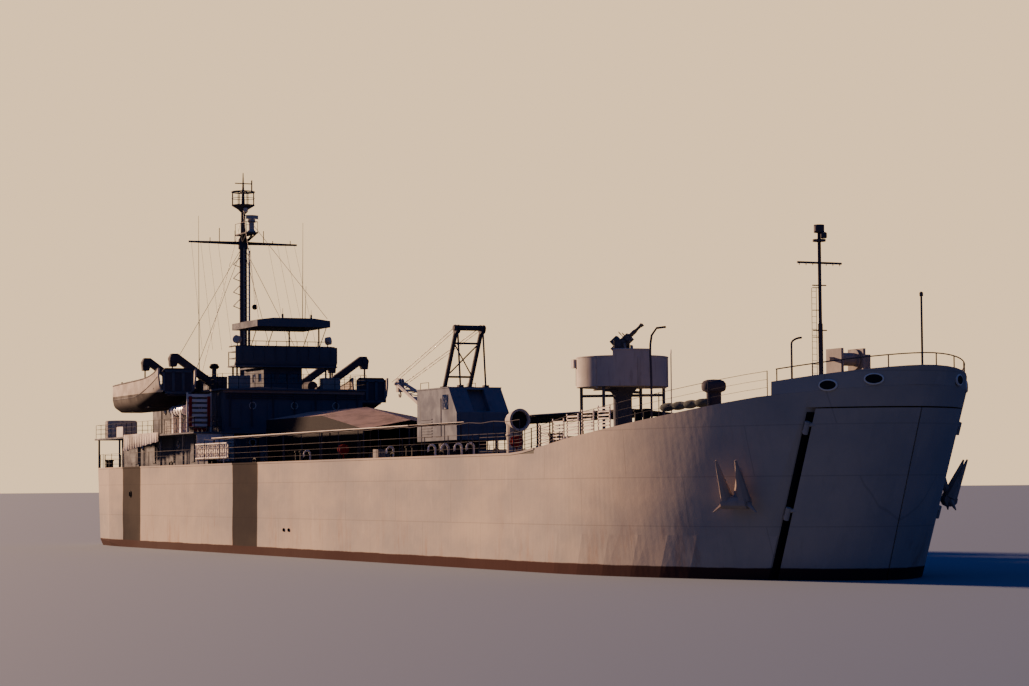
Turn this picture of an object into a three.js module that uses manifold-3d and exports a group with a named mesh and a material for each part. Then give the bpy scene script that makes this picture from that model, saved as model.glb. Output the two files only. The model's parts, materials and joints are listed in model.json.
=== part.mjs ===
// Beaching landing ship, a 1:10 scale model of a hull about 100 m long.
// Every named size is in full-size metres, with x from the stern, y to port and z up from the flat keel.
// piece() moves the middle of the length to the origin and brings the sizes to the model's millimetres.
import * as THREE from 'three';
import { mergeVertices } from 'three/addons/utils/BufferGeometryUtils.js';
import Module from 'manifold-3d';

const wasm = await Module();
wasm.setup();

// Scale and fits
const MODEL_MM_PER_M = 100;
const MID_LENGTH = 49.95;
const GAP = 0.003;
const BIG = 200;

// Main hull
const HALF_BEAM = 7.62;
const DECK_Z = 7.67;
const DECK_THICKNESS = 0.4;
const TANK_DECK_Z = 3.9;
const TANK_DECK_HALF_WIDTH = 4.55;
const TANK_DECK_AFT = 12;
const BOW_BLOCK_X = 78;
const BILGE = 1.2;

// Bow plan: at a height z the shoulder and the stem lie on two raked lines, with one fullness at the keel
// and a rounder one at the height of the flare
const SHOULDER_X0 = 79.5;
const SHOULDER_RAKE = 0.25;
const STEM_X0 = 95.62;
const STEM_RAKE = 0.389;
const BOW_FULLNESS = 1.73;
const DECK_FULLNESS = 1.96;
const FLARE_Z = 10;
const FOREFOOT_RISE = 0.9;
const FOREFOOT_START = 0.7;

// Sheer of the deck edge: x, z
const SHEER = [
  [0, DECK_Z], [76, DECK_Z], [78.7, 7.96], [80.8, 8.25], [85, 8.68], [89.2, 9.15], [91.2, 9.39], [93, 9.61],
  [94.6, 9.8], [95.8, 9.89], [97.2, 9.98], [100.5, 10.25],
];

// Stern and midship stations: x at the keel, x at the deck edge, half breadth, bottom z, bilge radius
const AFT_STATIONS = [
  [2.3, 0.0, 6.4, 1.9, 0.5],
  [3.6, 2.6, 7.25, 1.55, 0.9],
  [7.0, 6.6, HALF_BEAM, 1.15, BILGE],
  [13.0, 13.0, HALF_BEAM, 0.5, BILGE],
  [20.0, 20.0, HALF_BEAM, 0.0, BILGE],
  [76.0, 76.0, HALF_BEAM, 0.0, BILGE],
];
const BOW_STEPS = [0, 0.12, 0.24, 0.36, 0.47, 0.57, 0.66, 0.735, 0.799, 0.823, 0.875, 0.92, 0.955, 0.983, 1];

// Bow doors, hinge line and ramp
const HULL_EDGE_STEP = 0.799;
const HINGE_STEP = 0.811;
const DOOR_EDGE_STEP = 0.823;
const DOOR_BOTTOM = 1.35;
const DOOR_TOP = 9.24;
const DOOR_SILL = 1.1;
const DOOR_HEAD = 9.3;
const DOOR_THICKNESS = 0.35;
const DOOR_SPLIT = 0.03;
const HINGE_HEIGHTS = [4.6, 8.2];
const KNUCKLE_RADIUS = 0.12;
const KNUCKLE_HEIGHT = 0.25;
const HULL_ARM = [-0.42, -0.02];
const DOOR_ARM = [0.4, -0.5];
const WELL_HALF_WIDTH = 2.4;
const WELL_AFT = 88;
const RAMP_HALF_WIDTH = 2.15;
const RAMP_LENGTH = 5.9;
const RAMP_THICKNESS = 0.24;
const RAMP_HINGE = { x: WELL_AFT + RAMP_THICKNESS / 2 + GAP, z: 3.75 };
const RAMP_RAISED = THREE.MathUtils.degToRad(58);

// Screws and rudders
const SCREW_Y = 2.75;
const SCREW_Z = 1.12;
const TUNNEL_RADIUS = 1.2;
const TUNNEL_SIDES = 16;
const TUNNEL_END = 12.5;
const SCREW_X = 6.4;
const SCREW_RADIUS = 1.05;
const SHAFT_RADIUS = 0.13;
const BOSS = { x0: 6.95, x1: 7.55, radius: 0.3, bore: 0.139 };
const RUDDER = { x: 4.3, nose: 4.95, tail: 3.2, bottom: 0.25, top: 1.95, thickness: 0.18, stock: 0.12 };

// Superstructure
const LOWER_HOUSE = { x0: 4.5, x1: 25, half: 6.0, top: 9.8 };
const BOAT_DECK = { x0: 1.8, x1: 25.4, half: 7.3, thickness: 0.12 };
const BOAT_DECK_Z = LOWER_HOUSE.top + BOAT_DECK.thickness;
const SIDE_POST_X = [2.2, 7.5, 12.5, 17.5, 22.5];
const UPPER_HOUSE = { x0: 9, x1: 25, half: 5.0, top: 12.73 };
const ROOF_Z = UPPER_HOUSE.top + 0.12;
const ROOF_OVERHANG = 0.3;
const ROOF_VENT = { x0: 18, x1: 19.5, y0: -4.25, y1: -2.9, height: 1.05, pipe: [18.75, -3.6], cap: 1.95 };
const PILOTHOUSE = { x0: 18.8, x1: 22.8, half: 1.4, top: 14.4, wall: 0.12, sill: 0.95, head: 0.4 };
const BRIDGE = { x0: 18.6, x1: 23.6, half: 3.7, floor: 14.5, top: 15.8, wall: 0.1, wingX: 21.9, middle: 1.7 };
const PIPE_RAIL = { heights: [0.5, 0.95], bar: 0.05, post: 0.035 };
const CANOPY = { x0: 19.8, x1: 25, half: 2.65, under: 17.1, top: 17.7, post: 0.06, aftPostY: 1.5 };

// Masts
const MAIN_MAST = {
  x: 14.6, radius: 0.26, yardZ: 23.75, yardHalf: 4.1, yard: 0.09, topRadius: 0.16, waist: 27.5, top: 28.9,
  spike: 0.06,
};
const LANTERN_PLATFORM = { aft: 0.6, ahead: 2, half: 0.45, z: 24.3, lantern: [1.4, 0.2], lanternTop: 25.6 };
const RADAR_PLATFORM = { low: 26.1, high: 26.5, neck: 0.3, rim: 0.85, hoopZ: 27.35 };
const FORE_MAST = { x: 91.5, radius: 0.11, waist: 13.2, upper: 0.08, yardZ: 15.9, yardHalf: 1.15, top: 17.6 };
const JACKSTAFF = { x: 99.3, top: 14.05, radius: 0.05 };
const LAMP_POST = {
  curve: [[81.3, -3, 7.9], [81.3, -3, 11], [81.3, -3, 13], [81.4, -2.85, 13.5], [81.7, -2.4, 13.6]],
  radius: 0.06,
};

// Forward gun tub
const TUB = { x: 72.7, radius: 2.35, floor: 11.1, top: 12.6, wall: 0.1, plate: 0.15, sides: 28 };
const TUB_SCREEN = { rise: 0.33, from: THREE.MathUtils.degToRad(-39.5), to: THREE.MathUtils.degToRad(9) };
const TUB_LEG = { ahead: 1.23, y: 1.72, radius: 0.09, tie: 0.07, ties: [[1, 0.2], [-1, 0.42]] };
const TUB_COLUMN = { radius: 0.48, flare: 0.8, flareHeight: 0.4 };
const TRUNNION_Z = 13.3;
const GUN_BEARING = THREE.MathUtils.degToRad(50);
const GUN_ELEVATION = THREE.MathUtils.degToRad(42);
const BARREL = { length: 1.45, radius: 0.045, spacing: 0.16, z: 0.03 };
const CRADLE = { aft: -0.55, fore: 0.6, half: 0.32, depth: 0.2, cheek: 0.43, cheekOuter: 0.55 };

// Tubs on the boat deck's after corners
const STERN_TUB = { x: 4, y: 5.9, radius: 1.15, wall: 0.1, top: 11.18, plate: 0.15 };

// Deck crane
const CRANE_X = 52.85;
const CRANE_BASE = { foot: 1.9, footTop: 0.35, drum: 1.4 };
const CRANE_HOUSE = {
  x0: 50, x1: 55.7, half: 1.65, bottom: 8.75, knee: 10.35, top: 11.8, eaves: 54.6, bay: [-0.55, 0.5],
};
const GANTRY_TOP = { x: 53.9, y: 0.8, z: 15.3 };
const GANTRY_LEGS = [
  { x: 52.1, radius: 0.13, pad: 0.2, back: 0 },
  { x: 54.35, radius: 0.06, pad: 0.15, back: 0.11 },
];
const GANTRY_BARS = [[52.47, 12.5], [53.46, 14.4]];
const BOOM_FOOT = { x: 49.72, z: 10.45, lug: 1.0, reach: 0.75, pin: 0.12 };
const BOOM_TIP = { x: 43.5, z: 12.5, reach: 0.25 };
const BOOM_BARS = [[0.25, 0.62], [0.5, 0.5], [0.75, 0.37], [0.97, 0.45]];

// Landing boats and davits; the port boat hangs lower
const BOAT = { x0: 10.9, x1: 21.3, y: 7.1, keel: 11.6, half: 1.6, wall: 0.12, gunwale: 1.9 };
const BOAT_BEAM = { z0: 12.95, z1: 13.15, half: 0.12 };
const BOAT_RAMP = { ahead: 0.05, thickness: 0.12, half: 1.1, z0: 12.6, z1: 14.35, corner: 0.2 };
const BOAT_HINGE = { x: 21.41, z: 12.52, half: 0.6, lug: 0.12, radius: 0.055 };
const DAVIT_X = [13.9, 20.2];
const DAVIT_WIDTH = 0.4;
const FALL = { radius: 0.05, top: 14.6, block: 0.16 };

// Two ships' sides and how much lower each side's boat hangs
const SIDES = [['port', 1, 0.5], ['starboard', -1, 0]];

// Ventilators: cowls with forward mouths, and mushroom heads on the foredeck
const COWL = { x: 71.4, y: 5.5, neck: 0.4, head: 0.47, z: 9.42, rim: 0.56, bore: 0.36, boreRim: 0.52 };
const MUSHROOM = { x: 89.8, y: 4.5, neck: 0.33, cap: 0.46, z: 10.2, top: 10.72 };

// Awnings: ends, outer and inner edge of the canvas
const AWNINGS = [
  { tag: 'starboard', x0: 28, x1: 61, outer: { y: -6.9, z: 9.45 }, inner: { y: -3.6, z: 9.65 }, colour: 0xa98f80 },
  { tag: 'port', x0: 38, x1: 67, outer: { y: 6.5, z: 10 }, inner: { y: 3.5, z: 10.25 }, colour: 0x4f5450 },
];
const AWNING_BAYS = 5;
const CANVAS_THICKNESS = 0.05;
const AWNING_BAR = 0.04;
const AWNING_POST = 0.05;
const AWNING_INSET = 0.12;

// Hatch and the tent over it: x, height of the ridge
const HATCH = { x0: 31, x1: 38.5, half: 2.8, coaming: 8.5, lip: 0.1, top: 8.62 };
const TENT = { ridge: [[28, 11.2], [38.2, 11.2], [45.2, 10.2]], half: 3.1, eaves: 0.55, cloth: 0.06 };

// Deck gear
const WINDLASS = { x0: 92.7, x1: 94.1, half: 1.1, bottom: 9.2, top: 10.15, drumX: 93.4, drumZ: 10.4, drum: 0.36 };
const STERN_WINCH = { x0: 2.3, x1: 3.9, half: 1.2, base: 8.15, drumX: 3.1, drumZ: 8.7, drum: 0.55, cheek: 9.2 };
const LIFERAFT = { x0: 19.8, x1: 22.6, y: 6.85, z: 11.45, radius: 0.38, cradles: [20.2, 21.9], cradle: 0.3 };

// Side rails: ends, bays, tops of the two bars
const RAIL = { x0: 0.9, x1: 95, bays: 31, inset: 0.12, post: 0.08, bar: 0.06, bars: [0.55, 1.07] };

// Bulwark round the bow: steps, height at the first step, rise to the stem, plate
const BULWARK = {
  steps: [0.7, 0.735, 0.799, 0.823, 0.875, 0.92, 0.955, 0.983, 0.998], aft: 10.42, rise: 0.57, thickness: 0.14,
};

// Anchors hung on the bow: step along the bow, height of the frame's origin
const ANCHOR = { step: 0.675, z: 5.9 };

const root = new THREE.Group();

// Turns a closed three.js geometry into a solid for cutting and joining
function solid(geometry) {
  const bare = geometry.clone();
  bare.deleteAttribute('normal');
  bare.deleteAttribute('uv');
  const welded = mergeVertices(bare, 1e-5);
  return new wasm.Manifold(new wasm.Mesh({
    numProp: 3,
    vertProperties: Float32Array.from(welded.attributes.position.array),
    triVerts: Uint32Array.from(welded.index.array),
  }));
}

function surface(body) {
  const mesh = body.getMesh();
  const geometry = new THREE.BufferGeometry();
  geometry.setAttribute('position', new THREE.BufferAttribute(Float32Array.from(mesh.vertProperties), 3));
  geometry.setIndex(new THREE.BufferAttribute(Uint32Array.from(mesh.triVerts), 1));
  return geometry;
}

const join = (...parts) => surface(parts.map(solid).reduce((whole, next) => whole.add(next)));
const cut = (base, ...tools) => surface(tools.map(solid).reduce((whole, next) => whole.subtract(next), solid(base)));
const keep = (base, zone) => surface(solid(base).intersect(solid(zone)));

// Adds one named sub-part at model scale
function piece(name, geometry, colour, roughness = 0.7, metalness = 0.1) {
  const scaled = geometry.clone();
  scaled.translate(-MID_LENGTH, 0, 0);
  scaled.scale(MODEL_MM_PER_M, MODEL_MM_PER_M, MODEL_MM_PER_M);
  const mesh = new THREE.Mesh(scaled, new THREE.MeshStandardMaterial({ color: colour, roughness, metalness }));
  mesh.name = name;
  root.add(mesh);
}

function block(x0, x1, y0, y1, z0, z1) {
  const box = new THREE.BoxGeometry(x1 - x0, y1 - y0, z1 - z0);
  return box.translate((x0 + x1) / 2, (y0 + y1) / 2, (z0 + z1) / 2);
}

// A bar of round section between two points, given as [x, y, z]
function rod(from, to, radius, sides = 8, endRadius = radius) {
  const start = new THREE.Vector3(...from);
  const end = new THREE.Vector3(...to);
  const along = end.clone().sub(start);
  const bar = new THREE.CylinderGeometry(endRadius, radius, along.length(), sides);
  bar.applyQuaternion(new THREE.Quaternion().setFromUnitVectors(new THREE.Vector3(0, 1, 0), along.normalize()));
  const middle = start.add(end).multiplyScalar(0.5);
  return bar.translate(middle.x, middle.y, middle.z);
}

// An upright drum or cone on the centre (x, y)
const drum = (x, y, z0, z1, radius, sides = 12, topRadius = radius) => (
  rod([x, y, z0], [x, y, z1], radius, sides, topRadius));

function outline(points) {
  return new THREE.Shape(points.map(([a, b]) => new THREE.Vector2(a, b)));
}

// A side view (x, z) carried across from y0 to y1
function acrossShip(points, y0, y1) {
  const slab = new THREE.ExtrudeGeometry(outline(points), { depth: y1 - y0, bevelEnabled: false });
  return slab.rotateX(Math.PI / 2).translate(0, y1, 0);
}

// An end view (y, z) carried forward from x0 to x1
function alongShip(points, x0, x1) {
  const slab = new THREE.ExtrudeGeometry(outline(points), { depth: x1 - x0, bevelEnabled: false });
  const turn = new THREE.Matrix4().makeBasis(
    new THREE.Vector3(0, 1, 0), new THREE.Vector3(0, 0, 1), new THREE.Vector3(1, 0, 0));
  return slab.applyMatrix4(turn).translate(x0, 0, 0);
}

const mirrorPort = (points, side) => (side > 0 ? points : points.map(([y, z]) => [-y, z]).reverse());

// Skin through a list of closed rings with equal numbers of points, closed by flat ends
function loft(rings) {
  const count = rings[0].length;
  const position = rings.flat(2);
  const index = [];
  for (let i = 0; i + 1 < rings.length; i += 1) {
    for (let j = 0; j < count; j += 1) {
      const a = i * count + j;
      const b = i * count + (j + 1) % count;
      index.push(a, a + count, b, b, a + count, b + count);
    }
  }
  const last = (rings.length - 1) * count;
  for (let j = 1; j + 1 < count; j += 1) {
    index.push(0, j, j + 1);
    index.push(last, last + j + 1, last + j);
  }
  const geometry = new THREE.BufferGeometry();
  geometry.setAttribute('position', new THREE.Float32BufferAttribute(position, 3));
  geometry.setIndex(index);
  return signedVolume(geometry) < 0 ? flipped(geometry) : geometry;
}

function signedVolume(geometry) {
  const at = geometry.attributes.position;
  const corners = geometry.index.array;
  const [a, b, c] = [new THREE.Vector3(), new THREE.Vector3(), new THREE.Vector3()];
  let total = 0;
  for (let i = 0; i < corners.length; i += 3) {
    a.fromBufferAttribute(at, corners[i]);
    b.fromBufferAttribute(at, corners[i + 1]);
    c.fromBufferAttribute(at, corners[i + 2]);
    total += a.dot(b.cross(c)) / 6;
  }
  return total;
}

function flipped(geometry) {
  const turned = Array.from(geometry.index.array);
  for (let i = 0; i < turned.length; i += 3) {
    [turned[i + 1], turned[i + 2]] = [turned[i + 2], turned[i + 1]];
  }
  geometry.setIndex(turned);
  return geometry;
}

// Straight-line reading of a table of [x, value]
function readTable(table, x) {
  const upper = Math.max(1, table.findIndex(([key]) => key >= x));
  const [x0, v0] = table[upper - 1];
  const [x1, v1] = table[upper];
  return v0 + (v1 - v0) * (x - x0) / (x1 - x0);
}

// Hull lines
const bowBreadth = (step, half = HALF_BEAM) => (
  Math.max(0.02, half * (1 - step ** BOW_FULLNESS) ** (1 / BOW_FULLNESS)));

// A bow line of constant breadth runs up a straight raked line: x = foot + rake z
function bowLine(step, stemSetback = 0) {
  const breadth = (1 - step ** BOW_FULLNESS) ** (1 / BOW_FULLNESS);
  const ahead = (1 - breadth ** DECK_FULLNESS) ** (1 / DECK_FULLNESS);
  const foot = SHOULDER_X0 + step * (STEM_X0 - stemSetback - SHOULDER_X0);
  const aft = SHOULDER_X0 + SHOULDER_RAKE * FLARE_Z;
  const fore = STEM_X0 - stemSetback + STEM_RAKE * FLARE_Z;
  return { foot, rake: (aft + ahead * (fore - aft) - foot) / FLARE_Z };
}

function bowPoint(step, z, side = 1) {
  const line = bowLine(step);
  return [line.foot + line.rake * z, side * bowBreadth(step), z];
}

// Height of the deck edge on a raked line, where the line meets the sheer
function deckHeight(foot, rake) {
  let z = DECK_Z;
  for (let pass = 0; pass < 12; pass += 1) {
    z = readTable(SHEER, Math.max(0, foot + rake * z));
  }
  return z;
}

function hullStations(inset = 0, stemSetback = 0) {
  const aft = AFT_STATIONS.map(([keelX, deckX, half, bottom, bilge]) => ({
    foot: keelX, rake: (deckX - keelX) / DECK_Z, half: half - inset, bottom, bilge,
  }));
  const bow = BOW_STEPS.map((step) => {
    const rise = Math.max(0, (step - FOREFOOT_START) / (1 - FOREFOOT_START));
    return {
      ...bowLine(step, stemSetback),
      half: bowBreadth(step, HALF_BEAM - inset),
      bottom: FOREFOOT_RISE * rise ** 2,
      bilge: BILGE - 0.7 * step ** 3,
    };
  });
  return [...aft, ...bow];
}

function hullRing({ foot, rake, half, bottom, bilge }, lift = 0) {
  const turn = Math.min(bilge, 0.7 * half);
  const soft = turn * (1 - Math.SQRT1_2);
  const top = deckHeight(foot, rake) + lift;
  const port = [[half - turn, bottom], [half - soft, bottom + soft], [half, bottom + turn], [half, top]];
  const ring = [...port, ...port.map(([y, z]) => [-y, z]).reverse()];
  return ring.map(([y, z]) => [foot + rake * z, y, z]);
}

const hullBody = (lift = 0, inset = 0, setback = 0) => (
  loft(hullStations(inset, setback).map((s) => hullRing(s, lift))));

// The faceted deck's height at a distance x from the stern
const deckTable = hullStations().map(({ foot, rake }) => {
  const z = deckHeight(foot, rake);
  return [foot + rake * z, z];
});
const deckTop = (x) => readTable([[-1, DECK_Z], ...deckTable, [101, 10.3]], x);
const deckFilled = hullBody(GAP);
const seated = (geometry) => cut(geometry, deckFilled);

// Side view zone ahead of a raked line, from z0 to z1
function aheadOf(step, z0, z1, y0 = -BIG, y1 = BIG) {
  const line = bowLine(step);
  return acrossShip([
    [line.foot + line.rake * z0, z0], [110, z0], [110, z1], [line.foot + line.rake * z1, z1],
  ], y0, y1);
}

// Knuckle and arm of a bow door hinge, on the hull's side or on the door's side of the hinge line
function doorKnuckle(z0, side, arm) {
  const low = bowPoint(HINGE_STEP, z0, side);
  const high = bowPoint(HINGE_STEP, z0 + KNUCKLE_HEIGHT, side);
  const middle = bowPoint(HINGE_STEP, z0 + KNUCKLE_HEIGHT / 2, side);
  const reach = [middle[0] + arm[0], middle[1] + side * arm[1], middle[2]];
  return join(rod(low, high, KNUCKLE_RADIUS, 12), rod(middle, reach, 0.09, 6));
}

function buildHull() {
  const underDeck = DECK_Z - DECK_THICKNESS;
  const tank = block(TANK_DECK_AFT - GAP, WELL_AFT + 0.1, -TANK_DECK_HALF_WIDTH, TANK_DECK_HALF_WIDTH,
    TANK_DECK_Z - GAP, underDeck + GAP);
  const passage = block(86, WELL_AFT + 0.1, -BIG, BIG, TANK_DECK_Z - 1, DECK_Z + 1);
  const clearTank = cut(tank, cut(passage, block(85, 90, -WELL_HALF_WIDTH, WELL_HALF_WIDTH, 0, 12)));
  const well = acrossShip([
    [WELL_AFT, 3.2], [94.2, 1.3], [97, 1.3], [97, DOOR_HEAD], [91.2, 9.15], [WELL_AFT, 8.6],
  ], -WELL_HALF_WIDTH, WELL_HALF_WIDTH);
  const doorway = aheadOf(HULL_EDGE_STEP, DOOR_SILL, DOOR_HEAD);
  const tunnels = [1, -1].map((side) => {
    const tunnel = new THREE.CylinderGeometry(TUNNEL_RADIUS, TUNNEL_RADIUS, TUNNEL_END + 1, TUNNEL_SIDES);
    tunnel.rotateY(Math.PI / TUNNEL_SIDES).rotateZ(-Math.PI / 2);
    return tunnel.translate((TUNNEL_END - 1) / 2, side * SCREW_Y, SCREW_Z);
  });
  const whole = cut(hullBody(), clearTank, well, doorway, ...tunnels);

  const struts = [1, -1].map((side) => cut(
    join(
      rod([BOSS.x0, side * SCREW_Y, SCREW_Z], [BOSS.x1, side * SCREW_Y, SCREW_Z], BOSS.radius, 16),
      block(BOSS.x0 + 0.1, BOSS.x1 - 0.1, side * SCREW_Y - 0.08, side * SCREW_Y + 0.08, SCREW_Z + 0.2, 2.6)),
    rod([0, side * SCREW_Y, SCREW_Z], [9, side * SCREW_Y, SCREW_Z], BOSS.bore, 16)));
  const bottom = keep(whole, block(-5, 110, -BIG, BIG, -1, TANK_DECK_Z));
  piece('hull_bottom', join(bottom, ...struts), 0x6d4740);

  const stern = keep(whole, block(-5, TANK_DECK_AFT, -BIG, BIG, TANK_DECK_Z, underDeck));
  piece('hull_stern', stern, 0xa39a8e);
  for (const [name, y0, y1] of [['hull_side_port', 0, BIG], ['hull_side_starboard', -BIG, 0]]) {
    piece(name, keep(whole, block(TANK_DECK_AFT, BOW_BLOCK_X, y0, y1, TANK_DECK_Z, underDeck)), 0xa39a8e);
  }
  piece('main_deck', keep(whole, block(-5, BOW_BLOCK_X, -BIG, BIG, underDeck, 20)), 0x8a8578);

  const knuckles = HINGE_HEIGHTS.flatMap((z) => [1, -1].map((side) => doorKnuckle(z, side, HULL_ARM)));
  const bow = keep(whole, block(BOW_BLOCK_X, 110, -BIG, BIG, TANK_DECK_Z, 20));
  piece('hull_bow', join(bow, ...knuckles), 0xa39a8e);
}

function buildBowDoors() {
  const inner = hullBody(1, DOOR_THICKNESS, DOOR_THICKNESS + 0.05);
  const shell = cut(hullBody(), inner);
  for (const [name, side] of [['bow_door_port', 1], ['bow_door_starboard', -1]]) {
    const y = side > 0 ? [DOOR_SPLIT, BIG] : [-BIG, -DOOR_SPLIT];
    const leaf = keep(shell, aheadOf(DOOR_EDGE_STEP, DOOR_BOTTOM, DOOR_TOP, ...y));
    const knuckles = HINGE_HEIGHTS.map((z) => doorKnuckle(z + KNUCKLE_HEIGHT + GAP, side, DOOR_ARM));
    piece(name, join(leaf, ...knuckles), 0x9a948a);
  }
}

function buildRamp() {
  const plate = block(0, RAMP_LENGTH, -RAMP_HALF_WIDTH, RAMP_HALF_WIDTH, -RAMP_THICKNESS / 2, RAMP_THICKNESS / 2);
  const barrel = rod([0, -RAMP_HALF_WIDTH, 0], [0, RAMP_HALF_WIDTH, 0], RAMP_THICKNESS / 2, 12);
  const ramp = join(plate, barrel);
  ramp.rotateY(-RAMP_RAISED).translate(RAMP_HINGE.x, 0, RAMP_HINGE.z);
  piece('bow_ramp', ramp, 0x77736a);
}

function buildScrewsAndRudders() {
  for (const [tag, side] of [['port', 1], ['starboard', -1]]) {
    const y = side * SCREW_Y;
    const blades = [0, 1, 2, 3].map((n) => {
      const edge = new THREE.Shape();
      edge.moveTo(-0.12, 0.1);
      edge.quadraticCurveTo(-0.55, 0.7, -0.22, SCREW_RADIUS - 0.06);
      edge.quadraticCurveTo(0, SCREW_RADIUS + 0.02, 0.22, SCREW_RADIUS - 0.06);
      edge.quadraticCurveTo(0.55, 0.7, 0.12, 0.1);
      const blade = new THREE.ExtrudeGeometry(edge, { depth: 0.05, bevelEnabled: false, curveSegments: 3 });
      blade.translate(0, 0, -0.025).rotateY(Math.PI / 2 - side * 0.5);
      return blade.rotateX(n * Math.PI / 2 + 0.4).translate(SCREW_X, y, SCREW_Z);
    });
    const hub = rod([SCREW_X - 0.45, y, SCREW_Z], [SCREW_X + 0.3, y, SCREW_Z], 0.14, 12, 0.24);
    const shaft = rod([SCREW_X, y, SCREW_Z], [TUNNEL_END - GAP, y, SCREW_Z], SHAFT_RADIUS, 16);
    piece(`propeller_${tag}`, join(hub, shaft, ...blades), 0xa07c45, 0.4, 0.9);

    const half = RUDDER.thickness / 2;
    const blade = outline([
      [RUDDER.tail, -0.02], [RUDDER.x, -half], [RUDDER.nose - 0.12, -half * 0.8], [RUDDER.nose, 0],
      [RUDDER.nose - 0.12, half * 0.8], [RUDDER.x, half], [RUDDER.tail, 0.02],
    ]);
    const foil = new THREE.ExtrudeGeometry(blade, { depth: RUDDER.top - RUDDER.bottom, bevelEnabled: false });
    foil.translate(0, y, RUDDER.bottom);
    const ceiling = SCREW_Z + TUNNEL_RADIUS * Math.cos(Math.PI / TUNNEL_SIDES);
    piece(`rudder_${tag}`, join(foil, drum(RUDDER.x, y, RUDDER.top - 0.3, ceiling - GAP, RUDDER.stock)), 0x6d4740);
  }
}

function buildHouses() {
  const h = LOWER_HOUSE;
  const d = BOAT_DECK;
  const lower = block(h.x0, h.x1, -h.half, h.half, DECK_Z + GAP, h.top);
  const deck = block(d.x0, d.x1, -d.half, d.half, h.top, BOAT_DECK_Z);
  const posts = SIDE_POST_X.flatMap((x) => SIDES.map(([, side]) => (
    drum(x, side * (d.half - 0.25), DECK_Z + GAP, h.top + 0.05, 0.08, 6))));
  piece('deckhouse_lower', join(lower, deck, ...posts), 0x8f8b84);

  const u = UPPER_HOUSE;
  const upper = block(u.x0, u.x1, -u.half, u.half, BOAT_DECK_Z + GAP, u.top);
  const eaves = u.half + ROOF_OVERHANG;
  const roof = block(u.x0 - 0.2, u.x1 + ROOF_OVERHANG, -eaves, eaves, u.top, ROOF_Z);
  const v = ROOF_VENT;
  const ventBox = block(v.x0, v.x1, v.y0, v.y1, ROOF_Z - 0.05, ROOF_Z + v.height);
  const ventPipe = join(
    drum(...v.pipe, ROOF_Z + v.height - 0.05, ROOF_Z + v.cap - 0.05, 0.17, 8),
    drum(...v.pipe, ROOF_Z + v.cap - 0.35, ROOF_Z + v.cap, 0.28, 10));
  piece('deckhouse_upper', join(upper, roof, ventBox, ventPipe), 0x8f8b84);
}

function buildPilothouse() {
  const p = PILOTHOUSE;
  const low = ROOF_Z + 0.15;
  const inside = block(p.x0 + p.wall, p.x1 - p.wall, -p.half + p.wall, p.half - p.wall, low, p.top - p.wall);
  const front = [-0.85, 0, 0.85].map((y) => (
    block(p.x1 - 0.5, p.x1 + 0.5, y - 0.28, y + 0.28, p.top - p.sill, p.top - p.head)));
  const sides = [0.8, 2, 3.2].map((dx) => (
    block(p.x0 + dx - 0.3, p.x0 + dx + 0.3, -3, 3, p.top - p.sill, p.top - p.head)));
  const doorway = block(p.x0 - 0.5, p.x0 + 0.5, -0.4, 0.4, low, p.top - 0.25);
  const house = block(p.x0, p.x1, -p.half, p.half, ROOF_Z + GAP, p.top);
  piece('pilothouse', cut(house, inside, doorway, ...front, ...sides), 0x6f7076);
}

// Bars of square section at the rail's heights from a to b, along one axis
function pipeRail([ax, ay], [bx, by]) {
  const half = PIPE_RAIL.bar / 2;
  return PIPE_RAIL.heights.map((height) => {
    const z = BRIDGE.floor + height;
    return block(Math.min(ax, bx) - half, Math.max(ax, bx) + half, Math.min(ay, by) - half, Math.max(ay, by) + half,
      z - half, z + half);
  });
}

// Conning bridge: a solid front, wings with open rails, and a narrow middle over the pilothouse
function buildBridge() {
  const b = BRIDGE;
  const wing = block(b.wingX, b.x1, -b.half, b.half, b.floor - 0.1, b.floor);
  const middle = block(b.x0, b.x1 - 0.4, -b.middle, b.middle, b.floor - 0.1, b.floor);
  const front = acrossShip([
    [b.x1 - 0.25, b.floor - 0.1], [b.x1, b.floor + 0.25], [b.x1, b.top], [b.x1 - b.wall, b.top],
    [b.x1 - b.wall, b.floor + 0.35], [b.x1 - 0.42, b.floor - 0.05], [b.x1 - 0.42, b.floor - 0.1],
  ], -b.half, b.half);
  const fittings = SIDES.flatMap(([, side]) => {
    const outer = side * (b.half - 0.06);
    const inner = side * (b.middle - 0.06);
    const corners = [[b.wingX + 0.06, outer], [b.wingX + 0.06, inner], [b.x0 + 0.06, inner]];
    const rails = [
      ...pipeRail([b.x1 - b.wall, outer], corners[0]), ...pipeRail(corners[0], corners[1]),
      ...pipeRail(corners[1], corners[2]),
    ];
    const top = b.floor + PIPE_RAIL.heights.at(-1) + 0.04;
    const posts = corners.map(([x, y]) => drum(x, y, b.floor - 0.05, top, PIPE_RAIL.post, 6));
    const legs = [b.wingX + 0.25, b.x1 - 0.6].map((x) => (
      drum(x, side * (b.half - 0.3), ROOF_Z + GAP, b.floor - 0.05, 0.07, 6)));
    return [...rails, ...posts, ...legs];
  });
  piece('conning_bridge', join(wing, middle, front, ...fittings), 0x6f7076);
}

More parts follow.
